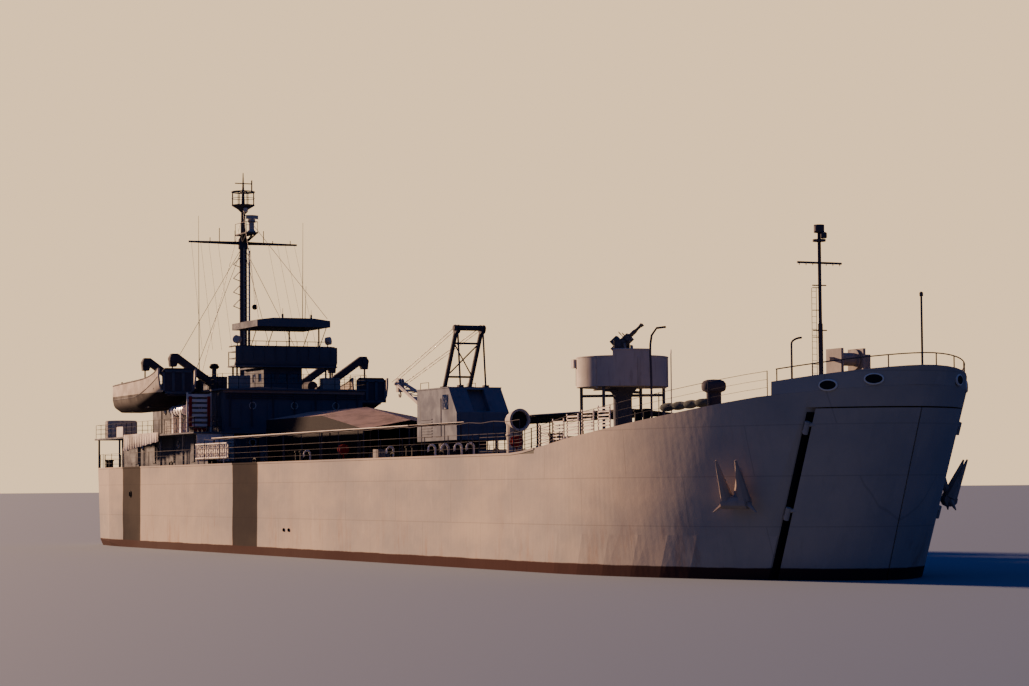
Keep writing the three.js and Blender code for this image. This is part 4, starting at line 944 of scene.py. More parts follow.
class Finish(Enum):
    """The finishes of the ship."""

    HULL = HullPaint()
    DECK = DeckPaint()
    MAIN_DECK = HullPaint("weathered_hull_enamel_under_deck_paint", deck="#5f5f5a")
    # Darker than the ship's real grey: painted shade of the houses under the boat deck's overhang
    HOUSE = MattPaint("house_enamel_painted_shade", "#4c4e57")
    GREY = MattPaint("deck_gear_enamel_grey", "#7f7b77")
    CRANE = MattPaint("crane_enamel_blue_grey", "#5d616c")
    RAIL = MattPaint("rail_enamel_grey", "#4b474a", streaks=0.2)
    DARK = MattPaint("mast_enamel_dark", "#413e44", streaks=0.2)
    LIGHT = MattPaint("fitting_enamel_light", "#a39c92", streaks=0.45)
    WHITE = MattPaint("fitting_enamel_white", "#cfc7ba", wear=0.35)
    RED = MattPaint("fire_point_enamel_red", "#8c2626", wear=0.15)
    BLACK = MattPaint("black_enamel", "#201f22", streaks=0.1)
    BRIDGE = MattPaint("bridge_enamel_slate", "#50535c")
    # The boats' near-black below the line is partly bottom paint and partly painted shade
    BOAT_STARBOARD = MattPaint("boat_enamel_grey", "#a3998c", low="#241d22", paint_and_shade_line_mm=12720.0)
    BOAT_PORT = MattPaint("boat_enamel_grey_port", "#a3998c", low="#241d22", paint_and_shade_line_mm=12220.0)
    ROOF = MattPaint("roof_edge_enamel_brown", "#8a7468")
    ANCHOR = MattPaint("anchor_enamel_grey", "#98897c", streaks=0.4, wear=0.5)
    CANVAS_TAN = Canvas("cotton_duck_tan", "#94786a", "#6f5a50")
    # The tent's hanging sides carry painted shade
    CANVAS_TENT = Canvas("cotton_duck_tent_painted_shade", "#94786a", "#6f5a50", walls="#19171d")
    CANVAS_WHITE = Canvas("cotton_duck_white", "#c9bfb2", "#8f867c")
    CANVAS_DARK = Canvas("cotton_duck_grey_green", "#4c524e", "#353a38")
    BRONZE = Metal("cast_bronze", "#a8814c", "#5c5a3e")
    IRON = Metal("cast_anchor_iron", "#7a7069", "#6a4a38", 0.65, 0.1)
    GUN = Metal("phosphated_gun_steel", "#43454b", "#2c2d31", 0.42, 0.6)
    WIRE = Metal("galvanised_wire_rope", "#6d6a66", "#4b4642", 0.5, 0.7, 12.0)
    RAFT = RaftShell()
    GLASS = Glazing()

    def material(self) -> bpy.types.Material:
        """The finish's material, made once."""
        return bpy.data.materials.get(self.value.name) or self.value.build()


# Pieces and the frame's nodes


def add_piece(name: str, shape: Shape, finish: Finish, body: str = SHIP, replaces: tuple[str, ...] = (),
              smooth: float = 35.0, bevel: float = 0.0) -> bpy.types.Object:
    """Makes one piece, lays it on its body and reports it.

    Args:
        name: The piece's name.
        shape: Its points and faces in full-size metres.
        finish: What it is made of.
        body: The body that it moves with.
        replaces: The nodes that it stands for.
        smooth: Edges flatter than this, in degrees, are shaded smooth.
        bevel: Width of the rounded edge in full-size metres.

    Returns:
        The new object.
    """
    mesh = shape.mesh(name)
    return dress_mesh(name, mesh, finish, body, replaces, smooth, bevel)


def dress_mesh(name: str, mesh: bpy.types.Mesh, finish: Finish, body: str, replaces: tuple[str, ...],
               smooth: float, bevel: float) -> bpy.types.Object:
    """Gives a mesh its object, shading, edge, material and body.

    Args:
        name: The piece's name.
        mesh: Its mesh.
        finish: What it is made of.
        body: The body that it moves with.
        replaces: The nodes that it stands for.
        smooth: Edges flatter than this are shaded smooth.
        bevel: Width of the rounded edge in full-size metres.

    Returns:
        The new object.
    """
    mesh.shade_smooth()
    mesh.set_sharp_from_angle(angle=math.radians(smooth))
    mesh.materials.append(finish.material())
    made = bpy.data.objects.new(name, mesh)
    bpy.context.scene.collection.objects.link(made)
    if bevel > 0:
        edge = made.modifiers.new("rounded_edges", "BEVEL")
        edge.width = bevel * MODEL_SCALE
        edge.segments = 2
        edge.limit_method = "ANGLE"
        edge.angle_limit = math.radians(40)
    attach(made, body)
    if replaces:
        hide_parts(*replaces)
    LOG.info("piece %s: %d faces on %s", name, len(mesh.polygons), body)
    return made


def dress_node(name: str, finish: Finish) -> None:
    """Gives a node of the frame its material.

    Args:
        name: The node's name.
        finish: What it is made of.
    """
    node = frame["nodes"][name]
    node.data.materials.clear()
    node.data.materials.append(finish.material())
    LOG.info("node %s: %s", name, finish.value.name)


def refined_node(name: str, finish: Finish, smooth: float = 30.0, bevel: float = 0.0) -> bpy.types.Object:
    """A merged copy of a node with smooth rounds and rounded edges, which stands for the node.

    Args:
        name: The node's name.
        finish: What it is made of.
        smooth: Edges flatter than this, in degrees, are shaded smooth.
        bevel: Width of the rounded edge in full-size metres.

    Returns:
        The new object.
    """
    node = frame["nodes"][name]
    mesh = node.data.copy()
    mesh.materials.clear()
    work = bmesh.new()
    work.from_mesh(mesh)
    bmesh.ops.remove_doubles(work, verts=work.verts, dist=2e-6)
    bmesh.ops.dissolve_limit(work, angle_limit=math.radians(0.4), verts=work.verts, edges=work.edges)
    work.to_mesh(mesh)
    work.free()
    return dress_mesh(f"{name}_finished", mesh, finish, node["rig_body"], (name,), smooth, bevel)


@dataclass
class Hull:
    """Shell plating, deck, bow bulwark and what is welded to them."""

    outlet: tuple[float, float] = (12.13, 5.79)
    drains: tuple[float, ...] = (43.6, 44.45)
    anodes: int = 6

    def build(self) -> None:
        """Paints the hull's own solids and makes the plating's fittings."""
        for name in ("hull_side_port", "hull_side_starboard", "hull_stern", "hull_bottom"):
            dress_node(name, Finish.HULL)
        refined_node("hull_bow", Finish.HULL)
        refined_node("bow_bulwark", Finish.HULL)
        dress_node("main_deck", Finish.MAIN_DECK)
        add_piece("gunwale_bar", self.gunwale(), Finish.HULL)
        add_piece("exhaust_outlets", self.outlets(), Finish.BLACK)
        add_piece("hull_anodes", self.zincs(), Finish.WHITE)

    def gunwale(self) -> Shape:
        """Flat bar along the deck edge on both sides, a thin strip standing 20 mm out of the plating."""
        x = np.linspace(0.3, 78.0, 60)
        section = np.array([[-0.05, -0.06], [0.05, -0.06], [0.05, 0.04], [-0.05, 0.04]])
        return joined(swept(xyz(x, side * (HullLines.edge_y(x) - 0.02), HullLines.deck_z(x) + 0.02), section)
                      for side in SIDES)

    def outlets(self) -> Shape:
        """The engine exhaust's short lipped pipe, and two small drains with lips, on the starboard side."""
        lip = np.array([
            [0, -0.02], [0.2, -0.02], [0.24, 0.02], [0.24, 0.06], [0.19, 0.08], [0.15, 0.02], [0, 0.02]])
        pipes = [(*self.outlet, 1.0, 20)] + [(x, 3.62, 0.45, 16) for x in self.drains]
        return joined(turned(lip * [size, 1], (x, 0.01 - HALF_BEAM, z), (0, -1, 0), sides)
                      for x, z, size, sides in pipes)

    def zincs(self) -> Shape:
        """Blocks of zinc on the stern above the screws."""
        x = np.linspace(9.0, 16.0, self.anodes)
        return joined(blocks(xyz(x, side * 4.6 - 0.12, 0.72), [0.5, 0.24, 0.12]) for side in SIDES)


@dataclass
class BowDoors:
    """The two doors, their stiffened edges and the ramp behind them."""

    tabs: int = 8
    ramp_slope: float = 58.0
    ramp_foot: tuple[float, float, float] = (88.123, 0.0, 3.75)

    def build(self) -> None:
        """Dresses the doors and the ramp and adds what shows in the gap."""
        for tag in TAGS.values():
            refined_node(f"bow_door_{tag}", Finish.HULL)
        dress_node("bow_ramp", Finish.DECK)
        for side, tag in TAGS.items():
            # The tabs are dark to carry the gap's painted shade
            add_piece(f"door_tabs_{tag}", self.hinge_tabs(side), Finish.DARK, f"bow_door_{tag}")
            # A black strip in the slot is painted shade
            add_piece(f"door_slot_painted_shade_strip_{tag}", self.painted_shade_strip(side), Finish.BLACK)
        add_piece("ramp_ribs", self.ribs(), Finish.DARK, "bow_ramp")

    def hinge_tabs(self, side: int) -> Shape:
        """Small gusset plates down the aft edge of a door, inside the gap, in dark enamel as painted shade of
        the gap.
        """
        low = HullLines.bow(0.8255, np.linspace(2.4, 8.4, self.tabs), side)
        return bars(low - [0, side * 0.12, 0], low - [0, side * 0.3, 0], 0.05, 6)

    def painted_shade_strip(self, side: int) -> Shape:
        """Painted shade: a black strip along the hull's edge and just ahead of it, standing for the shade
        seen through the slot.
        """
        outer = HullLines.bow(0.8005, np.linspace(2.0, 9.1, 30), side) - [0, side * 0.06, 0]
        return panel(np.stack([outer, outer - [0.02, side * 0.5, 0]]), 0.015)

    def ribs(self) -> Shape:
        """Traction bars across the ramp's upper face, seen when it is lowered."""
        sine, cosine = math.sin(math.radians(self.ramp_slope)), math.cos(math.radians(self.ramp_slope))
        s = np.arange(0.6, 5.8, 0.4)
        centre = self.ramp_foot + xyz(s * cosine - 0.13 * sine, 0, s * sine + 0.13 * cosine)
        return bars(centre - [0, 1.95, 0], centre + [0, 1.95, 0], 0.035, 6)


@dataclass
class DeckRails:
    """Stanchions and lifelines round the deck, hoops, bitts and fairleads along its edge."""

    first: float = 0.94
    last: float = 94.96
    bays: int = 31
    height: float = 1.07
    inset: float = 0.12
    fairlead_places: tuple[tuple[float, float], ...] = ((0.842, 10.2), (0.935, 10.42))

    def build(self) -> None:
        """Makes the rails of both sides and what stands along them."""
        for side, tag in TAGS.items():
            add_piece(f"lifelines_{tag}", self.rail(side), Finish.RAIL, replaces=(f"side_rail_{tag}",))
        add_piece("bow_rail", self.bow_rail(), Finish.RAIL)
        add_piece("stern_rail", self.stern_rail(), Finish.RAIL)
        add_piece("edge_hoops", self.hoops(), Finish.WHITE)
        add_piece("mooring_bitts", self.bitts(), Finish.BLACK)
        add_piece("panama_fairleads", self.fairleads(), Finish.WHITE)
        # Black ovals in the fairleads are painted shade
        add_piece("fairlead_painted_shade_discs", self.painted_shade_discs(), Finish.BLACK)
        add_piece("edge_chocks", self.chocks(), Finish.BLACK)
        add_piece("awning_stanchions", self.stanchions(), Finish.RAIL)
        add_piece("stowed_gangway", self.gangway(), Finish.WHITE)

    def edge(self, x: Array, side: int, lift: float = 0.0) -> Array:
        """Points just inside the deck edge at distances from the stern."""
        return xyz(x, side * (HullLines.edge_y(x) - self.inset), HullLines.deck_z(x) + lift)

    def rail(self, side: int) -> Shape:
        """Posts at the frame's own pitch with three lines through them, and closer ones by the gun tub."""
        x = np.linspace(self.first, self.last, self.bays + 1)
        fine = np.unique(np.concatenate([x, np.linspace(self.first, self.last, 90)]))
        near, close = np.linspace(71.5, 80.0, 12), np.arange(71.5, 80.0, 1.0)
        return joined([
            posts(self.edge(x, side), self.height, 0.022, 8),
            posts(self.edge(close, side), self.height, 0.03),
            *(tube(self.edge(fine, side, lift), wire, 6)
              for lift, wire in ((0.36, 0.008), (0.7, 0.008), (1.05, 0.012))),
            *(tube(self.edge(near, side, lift), 0.014, 6) for lift in (0.18, 0.54, 0.88))])

    def over_bulwark(self, steps: Array, sides: Array, lift: float) -> Array:
        """Points over the middle of the bulwark's thickness."""
        top = HullLines.bulwark_top(steps)
        at = HullLines.bulwark(steps, top)
        return xyz(at[..., 0] - 0.07, sides * np.maximum(at[..., 1] - 0.07, 0.05), top + lift)

    def bow_rail(self) -> Shape:
        """One bar over the bulwark round the stem, on a few posts, joined to the side rails at its ends."""
        port = np.linspace(0.712, 0.998, 30)
        bar = self.over_bulwark(np.concatenate([port, port[::-1]]), np.repeat([1, -1], 30), 0.5)
        steps = np.tile([0.714, 0.804, 0.87, 0.956, 0.996], 2)
        foot = self.over_bulwark(steps, np.repeat([1, -1], 5), -0.02)
        return joined([tube(bar, 0.028, 6), posts(foot, 0.52, 0.03)])

    def stern_rail(self) -> Shape:
        """Posts and three lines across the transom."""
        foot = xyz(0.5, np.linspace(-6.1, 6.1, 11), DECK_Z)
        return railing(foot[0], foot[-1], 10, self.height, 0.035, 0.016, (0.36, 0.7, 1.05), 8)

    def hoops(self) -> Shape:
        """Inverted U pipes, the white goosenecks of the tank vents, standing inside the rail."""
        turn = np.linspace(0, np.pi, 9)
        arch = xyz(0, 0.2 * np.cos(turn), 0.45 + 0.2 * np.sin(turn))
        legs = np.concatenate([[[0, 0.2, 0.0]], arch, [[0, -0.2, 0.3]]])
        return joined(tube(legs + [x, side * (HullLines.edge_y(x) - 0.62), DECK_Z], 0.07)
                      for side in SIDES for x in (27.2, 45.9, 58.7, 64.4, 66.1, 67.8, 69.3))

    def chocks(self) -> Shape:
        """Low closed chocks along the deck edge: a round bar bent to a flattened ring on the plate."""
        turn = np.linspace(0, 2 * np.pi, 20, endpoint=False)
        ring = xyz(0.3 * np.cos(turn), 0, 0.16 + 0.14 * np.sin(turn))
        places = [(x, side * (HullLines.edge_y(x) - 0.16), HullLines.deck_z(x))
                  for side in SIDES for x in (21.0, 38.0, 60.2, 66.8, 73.4)]
        return joined(tube(ring + place, 0.055, closed=True) for place in places)

    def stanchions(self) -> Shape:
        """Tall stanchions inside the starboard rail with the line that the side curtains hang from."""
        foot = xyz(np.linspace(28.0, 76.0, 17), -7.4, DECK_Z)
        share = np.linspace(0, 1, 97)
        line = xyz(28.0 + 48.0 * share, -7.4, DECK_Z + 1.67 - 0.06 * np.sin(np.pi * share * 16) ** 2)
        return joined([posts(foot, 1.67, 0.022), tube(line, 0.016, 6)])

    def gangway(self) -> Shape:
        """Brow stowed on its side along the starboard rail: two long bars, posts and crossed braces."""
        low = xyz(np.linspace(25.9, 32.2, 8), -7.3, 8.12)
        high = low + [0, 0, 0.92]
        ends = np.stack([low[[0, -1]], high[[0, -1]]])
        return joined([
            bars(ends[:, 0], ends[:, 1], 0.05, 6), posts(low, 0.92, 0.035), panel(ends + [0, 0.09, 0], 0.02),
            bars(low[:-1], high[1:], 0.025, 6), bars(high[:-1], low[1:], 0.025, 6),
            posts(xyz(np.array([26.4, 31.6]), -7.3, DECK_Z), 0.5, 0.04)])

    def bitts(self) -> Shape:
        """Pairs of mooring posts with caps."""
        profile = [[0.2, 0], [0.17, 0.04], [0.16, 0.5], [0.22, 0.54], [0.22, 0.6], [0.14, 0.64]]
        shape = Shape()
        for side in SIDES:
            for x in (2.2, 27.6, 44.0, 61.0, 78.5, 86.5):
                y, z = side * (HullLines.edge_y(x) - 0.75), HullLines.deck_z(x)
                shape.take(blocks([x - 0.3, y - 0.25, z], [1.4, 0.5, 0.06]))
                for along in (0.0, 0.8):
                    shape.take(turned(profile, (x + along, y, z + 0.04), sides=16))
        return shape

    def fairlead_ring(self, step: float, z: float, side: int, proud: float) -> Array:
        """Oval proud of the bulwark's outer face: centre + 0.37 cos a ahead + 0.2 sin a up.

        Args:
            step: Place along the bow line.
            z: Height of the middle.
            side: 1 for port and -1 for starboard.
            proud: Distance from the plate.

        Returns:
            The oval's points.
        """
        centre = HullLines.bulwark(step, z, side)
        ahead = unit(HullLines.bulwark(step + 0.01, z, side) - HullLines.bulwark(step - 0.01, z, side))
        out = unit(np.cross(ahead, UP) * side)
        turn = np.linspace(0, 2 * np.pi, 24, endpoint=False)[:, None]
        return centre + proud * out + 0.37 * np.cos(turn) * ahead + 0.2 * np.sin(turn) * UP

    def fairleads(self) -> Shape:
        """Rounded oval lips round the holes of the bow bulwark."""
        return joined(tube(self.fairlead_ring(step, z, side, 0.0), 0.055, closed=True)
                      for side in SIDES for step, z in self.fairlead_places)

    def painted_shade_discs(self) -> Shape:
        """Painted shade: black ovals in the lips, a finger's breadth proud of the plate, for the shade of the
        openings.
        """
        return joined(skinned(np.stack([self.fairlead_ring(step, z, side, proud) for proud in (-0.05, 0.02)]))
                      for side in SIDES for step, z in self.fairlead_places)


@dataclass
class Deckhouse:
    """The two levels of the superstructure with their doors, ports, ladders and rails."""

    half_low: float = 6.0
    half_high: float = 5.0
    front: float = 25.0
    rail_height: float = 1.0

    def build(self) -> None:
        """Dresses the houses and adds their fittings."""
        # The houses' slate colour holds painted shade
        refined_node("deckhouse_lower", Finish.HOUSE, bevel=0.02)
        refined_node("deckhouse_upper", Finish.HOUSE, bevel=0.02)
        add_piece("house_doors", self.doors(), Finish.HOUSE, bevel=0.01)
        add_piece("house_ports", self.ports(), Finish.GLASS)
        add_piece("port_rims", self.rims(), Finish.LIGHT)
        add_piece("house_ladders", self.ladders(), Finish.RAIL)
        add_piece("boat_deck_rail", self.rails(), Finish.BLACK)
        add_piece("house_lockers", self.lockers(), Finish.GREY, bevel=0.02)
        add_piece("fire_station_panel", self.fire_panel(), Finish.WHITE, bevel=0.01)
        add_piece("fire_station_hoses", self.fire_point(), Finish.RED, bevel=0.01)
        add_piece("hanging_dodger", self.dodger(), Finish.CANVAS_WHITE)
        add_piece("stern_boxes", self.stern_boxes(), Finish.WHITE, bevel=0.02)
        add_piece("house_pipes", self.pipes(), Finish.DARK)
        add_piece("vent_cowl_cap", self.cap(), Finish.BLACK)
        add_piece("roof_edge", self.roof_edge(), Finish.ROOF)
        add_piece("side_dodger", self.side_cloth(), Finish.CANVAS_WHITE)

    def doors(self) -> Shape:
        """Watertight doors: raised panels with clips, on the house front and sides."""
        rows = [([self.front, y - 0.35, z], [thick, 0.7, 1.7])
                for y in (-4.2, -1.6, 1.6, 4.2) for z, thick in ((7.95, 0.06), (10.15, 0.05))]
        for side in SIDES:
            for half, z, thick, xs in ((self.half_low, 7.95, 0.06, (8, 12.2, 16.5, 21)),
                                       (self.half_high, 10.15, 0.05, (10.5, 23.2))):
                rows += [([x, side * (half + thick / 2) - thick / 2, z], [0.7, thick, 1.7]) for x in xs]
        return blocks(*zip(*rows))

    def port_places(self) -> tuple[Array, Array]:
        """Centres and outward directions of the round ports."""
        levels = ((9.2, self.half_low, (6, 9.8, 14, 18.2, 23), (-5.2, -3, 0, 3, 5.2)),
                  (11.7, self.half_high, (12, 14.2, 17, 20, 22), (-3, 0, 3)))
        rows = [(x, side * half, z, 0, side, 0) for z, half, xs, _ in levels for side in SIDES for x in xs]
        rows += [(self.front, y, z, 1, 0, 0) for z, _, _, ys in levels for y in ys]
        return np.array(rows, float)[:, :3], np.array(rows, float)[:, 3:]

    def ports(self) -> Shape:
        """Glass discs of the round ports."""
        places, outs = self.port_places()
        return bars(places, places + outs * 0.03, 0.19, 16)

    def rims(self) -> Shape:
        """Rings round the ports."""
        return joined(hoop(place + out * 0.03, 0.23, 0.035, out, 20)
                      for place, out in zip(*self.port_places()))

    def ladders(self) -> Shape:
        """Inclined ladders between the levels, and upright ones to the roof."""
        inclined = [ladder((27.2, y, 7.7), (25.4, y, 9.9), 0.75, 0.28, 0.035) for y in (-4.9, 5.0)]
        return joined(inclined + [ladder((x, y, BOAT_DECK_Z), (x, y, 12.9), 0.5, across_dir=(1, 0, 0))
                                  for x, y in ((24.0, -5.12), (9.2, 5.12))])

    def rails(self) -> Shape:
        """Rails of the boat deck and the house roof: posts with three lines."""
        # Start and end of each run, its height and its number of bays
        runs = (
            (1.9, -7.2, 25.3, -7.2, BOAT_DECK_Z, 18), (1.9, 7.2, 25.3, 7.2, BOAT_DECK_Z, 18),
            (1.9, -7.2, 1.9, 7.2, BOAT_DECK_Z, 10), (25.25, -7.2, 25.25, -5.3, BOAT_DECK_Z, 2),
            (8.9, -5.2, 13.3, -5.2, ROOF_Z, 4), (20.1, -5.2, 25.2, -5.2, ROOF_Z, 5),
            (25.2, -5.2, 25.2, 5.2, ROOF_Z, 9), (20.1, 5.2, 25.2, 5.2, ROOF_Z, 5),
            (8.9, -5.2, 8.9, 5.2, ROOF_Z, 8))
        return joined(railing((x0, y0, z), (x1, y1, z), bays, self.rail_height, 0.02, 0.012)
                      for x0, y0, x1, y1, z, bays in runs)

    def lockers(self) -> Shape:
        """Boxes, ready lockers and floodlights on the decks."""
        x = [5.0, 5.0, 7.2, 17.9, 24.0, 24.1, 10.2, 10.4, 25.4]
        y = [-3.2, 1.4, -1.0, -6.9, -4.4, 2.2, -3.8, 2.0, -2.6]
        low = xyz(x, y, [BOAT_DECK_Z] * 4 + [ROOF_Z] * 4 + [DECK_Z])
        size = [[1.4, 1.4, 0.9], [1.5, 1.6, 0.8], [1.0, 2.0, 1.1], [1.6, 0.7, 0.9],
                [0.6, 1.4, 0.9], [0.6, 1.3, 0.8], [1.7, 1.3, 0.9], [1.6, 1.5, 1.1], [0.7, 1.6, 1.0]]
        return blocks(low, size)

    def roof_edge(self) -> Shape:
        """Deep fascia along the front of the upper roof, highest a third of the way across."""
        y = np.array([-5.1, -2.6, 5.1])
        foot, top = xyz(25.12, y, [12.58, 12.56, 12.5]), xyz(25.12, y, [12.78, 12.98, 12.7])
        return panel(np.stack([foot, top]), 0.06)

    def side_cloth(self) -> Shape:
        """Weather cloth laced along the boat deck's after edge, its foot cut in scallops between posts."""
        u, v = np.meshgrid(np.linspace(0, 1, 81), np.linspace(0, 1, 9), indexing="ij")
        foot = 0.55 + 0.12 * np.abs(np.sin(np.pi * u * 7)) + 0.55 * (1 - u)
        fold = 0.05 * np.sin(2 * np.pi * u * 14) * v
        return panel(xyz(9.6 + 8.2 * u, -7.36 - fold, 10.05 - foot * v), 0.02)

    def fire_panel(self) -> Shape:
        """Slatted screen across the boat deck's fore end: two posts and seven boards with gaps between."""
        boards = blocks(xyz(23.5, -7.1, np.linspace(10.3, 12.3, 7)), [0.05, 1.65, 0.2])
        return joined([boards, blocks([[23.47, -7.16, 9.95], [23.47, -5.5, 9.95]], [0.09, 0.1, 2.65])])

    def fire_point(self) -> Shape:
        """Red hose boxes at both sides of the screen and a row of buckets under it."""
        bucket = [[0.09, 0], [0.13, 0.26], [0.11, 0.26], [0.08, 0.02]]
        return joined([blocks([[23.56, -7.02, 10.3], [23.56, -5.72, 10.3]], [0.14, 0.18, 2.05])] + [
            turned(bucket, (23.76, y, 9.95), sides=14) for y in (-6.6, -6.3, -6.0)])

    def dodger(self) -> Shape:
        """Canvas weather cloth hung across the boat deck's fore end: y runs across, with folds of 60 mm."""
        u, v = np.meshgrid(np.linspace(0, 1, 60), np.linspace(0, 1, 16), indexing="ij")
        return panel(xyz(25.32 + 0.06 * np.sin(2 * np.pi * u * 6) * v, -7.05 + 2.6 * u, 9.85 - 1.9 * v), 0.02)

    def stern_boxes(self) -> Shape:
        """Life-jacket box on the boat deck's after edge and a bin beside it."""
        return blocks(xyz([7.4, 2.3], [-7.25, -2.6], BOAT_DECK_Z), [[1.6, 0.8, 0.75], [1.0, 1.2, 0.7]])

    def pipes(self) -> Shape:
        """Service pipes and cable runs under the eaves."""
        start = xyz(25.07, -4.9, np.array([12.2, 12.35, 12.5]))
        foot = xyz(25.08, np.linspace(-4.6, 4.6, 7), 10.3)
        return joined([bars(start, start + [0, 9.8, 0], 0.035, 6), posts(foot, 2.3, 0.05)])

    def cap(self) -> Shape:
        """Mushroom cap of the roof's vent pipe."""
        profile = [[0.1, 1.6], [0.32, 1.66], [0.36, 1.76], [0.26, 1.9], [0.12, 1.98]]
        return turned(profile, (18.75, -3.6, ROOF_Z), sides=20)


@dataclass
class Bridge:
    """Pilothouse, conning bridge and the canopy over it."""

    floor: float = 14.5
    rail_z: float = 15.82

    def build(self) -> None:
        """Dresses the bridge's solids and adds its fittings."""
        for name in ("pilothouse", "conning_bridge", "bridge_canopy"):
            refined_node(name, Finish.BRIDGE, bevel=0.02)
        add_piece("pilothouse_glass", self.panes(), Finish.GLASS)
        add_piece("bridge_stiffeners", self.stiffeners(), Finish.BRIDGE)
        add_piece("bridge_cap_rail", self.cap_rail(), Finish.DARK)
        add_piece("bridge_instruments", self.instruments(), Finish.DARK)
        add_piece("signal_lamps", self.lamps(), Finish.LIGHT)
        add_piece("whip_aerials", self.whips(), Finish.DARK)
        add_piece("canopy_struts", self.struts(), Finish.DARK)

    def panes(self) -> Shape:
        """Glass set into the pilothouse windows."""
        front = blocks([[22.7, y - 0.28, 13.45] for y in (-0.85, 0, 0.85)], [0.03, 0.56, 0.55])
        sides = [[x - 0.3, side * 1.34 - 0.015, 13.45] for side in SIDES for x in (19.6, 20.8, 22.0)]
        return joined([front, blocks(sides, [0.6, 0.03, 0.55])])

    def stiffeners(self) -> Shape:
        """Flat bars down the outside of the front bulwark."""
        return blocks(xyz(23.59, np.linspace(-3.2, 3.2, 9) - 0.02, 14.85), [0.06, 0.04, 0.9])

    def cap_rail(self) -> Shape:
        """Rounded rail along the front bulwark's top, with the windbreak over it."""
        half = np.array([[22.2, -3.66], [23.15, -3.66], [23.56, -3.25]])
        path = np.concatenate([half, (half * [1, -1])[::-1]])
        path = xyz(path[:, 0], path[:, 1], self.rail_z)
        foot = xyz(23.52, np.linspace(-3.0, 3.0, 9), 15.75)
        return joined([bars(path[:-1], path[1:], 0.05, 8), bars(foot, foot + [0.1, 0, 0.42], 0.02, 6),
                       bars([23.63, -3.05, 16.17], [23.63, 3.05, 16.17], 0.025, 6)])

    def instruments(self) -> Shape:
        """Pelorus stands, voice pipes and chart tables behind the bulwark."""
        stand = [[0.2, 0], [0.12, 0.05], [0.1, 0.95], [0.22, 1.02], [0.22, 1.18], [0.12, 1.26]]
        low = xyz([21.2, 21.2, 19.0, 22.6], [-1.45, 0.8, -1.0, -1.5], self.floor)
        size = [[0.7, 0.6, 1.1], [0.7, 0.6, 1.1], [0.8, 2.0, 1.0], [0.5, 0.9, 1.25]]
        stands = [turned(stand, (22.9, y, self.floor), sides=14) for y in (-2.5, 0.0, 2.5)]
        return joined([blocks(low, size), *stands])

    def lamps(self) -> Shape:
        """Signal lamps on the bulwark's corners, each a short drum on a fork."""
        drum = [[0.1, -0.2], [0.26, -0.14], [0.28, 0.0], [0.28, 0.2], [0.24, 0.24]]
        drums = [turned(drum, (22.8, side * 3.3, 16.3), (0.6, side * 0.8, 0.1), 18) for side in SIDES]
        return joined(drums + [posts([[22.8, side * 3.3, 15.4] for side in SIDES], 0.66, 0.04, 8)])

    def whips(self) -> Shape:
        """Long rod aerials on their insulators."""
        foot = np.array([[20.0, -5.1, 13.0], [20.0, 2.5, 17.6], [20.2, 2.6, 17.6],
                         [24.6, 1.4, 17.62], [24.4, -0.6, 17.66]])
        head = [[20.0, -5.15, 25.0], [20.0, 2.55, 24.8], [20.3, 2.66, 20.3],
                [24.6, 1.4, 18.3], [24.4, -0.6, 18.4]]
        rods = bars(foot, head, [0.035, 0.03, 0.025, 0.025, 0.02], 6, 0.012)
        return joined([rods, posts(foot, 0.35, 0.07, 8)])

    def struts(self) -> Shape:
        """Frames and rail under the canopy."""
        foot = xyz(23.3, np.array([-2.5, -1.3, 1.3, 2.5]), 15.8)
        start = xyz(np.linspace(20.0, 24.8, 6), -2.55, 17.38)
        return joined([bars(foot, foot + [1.4, 0, 1.4], 0.03, 6), bars(start, start + [0, 5.1, 0], 0.03, 6)])


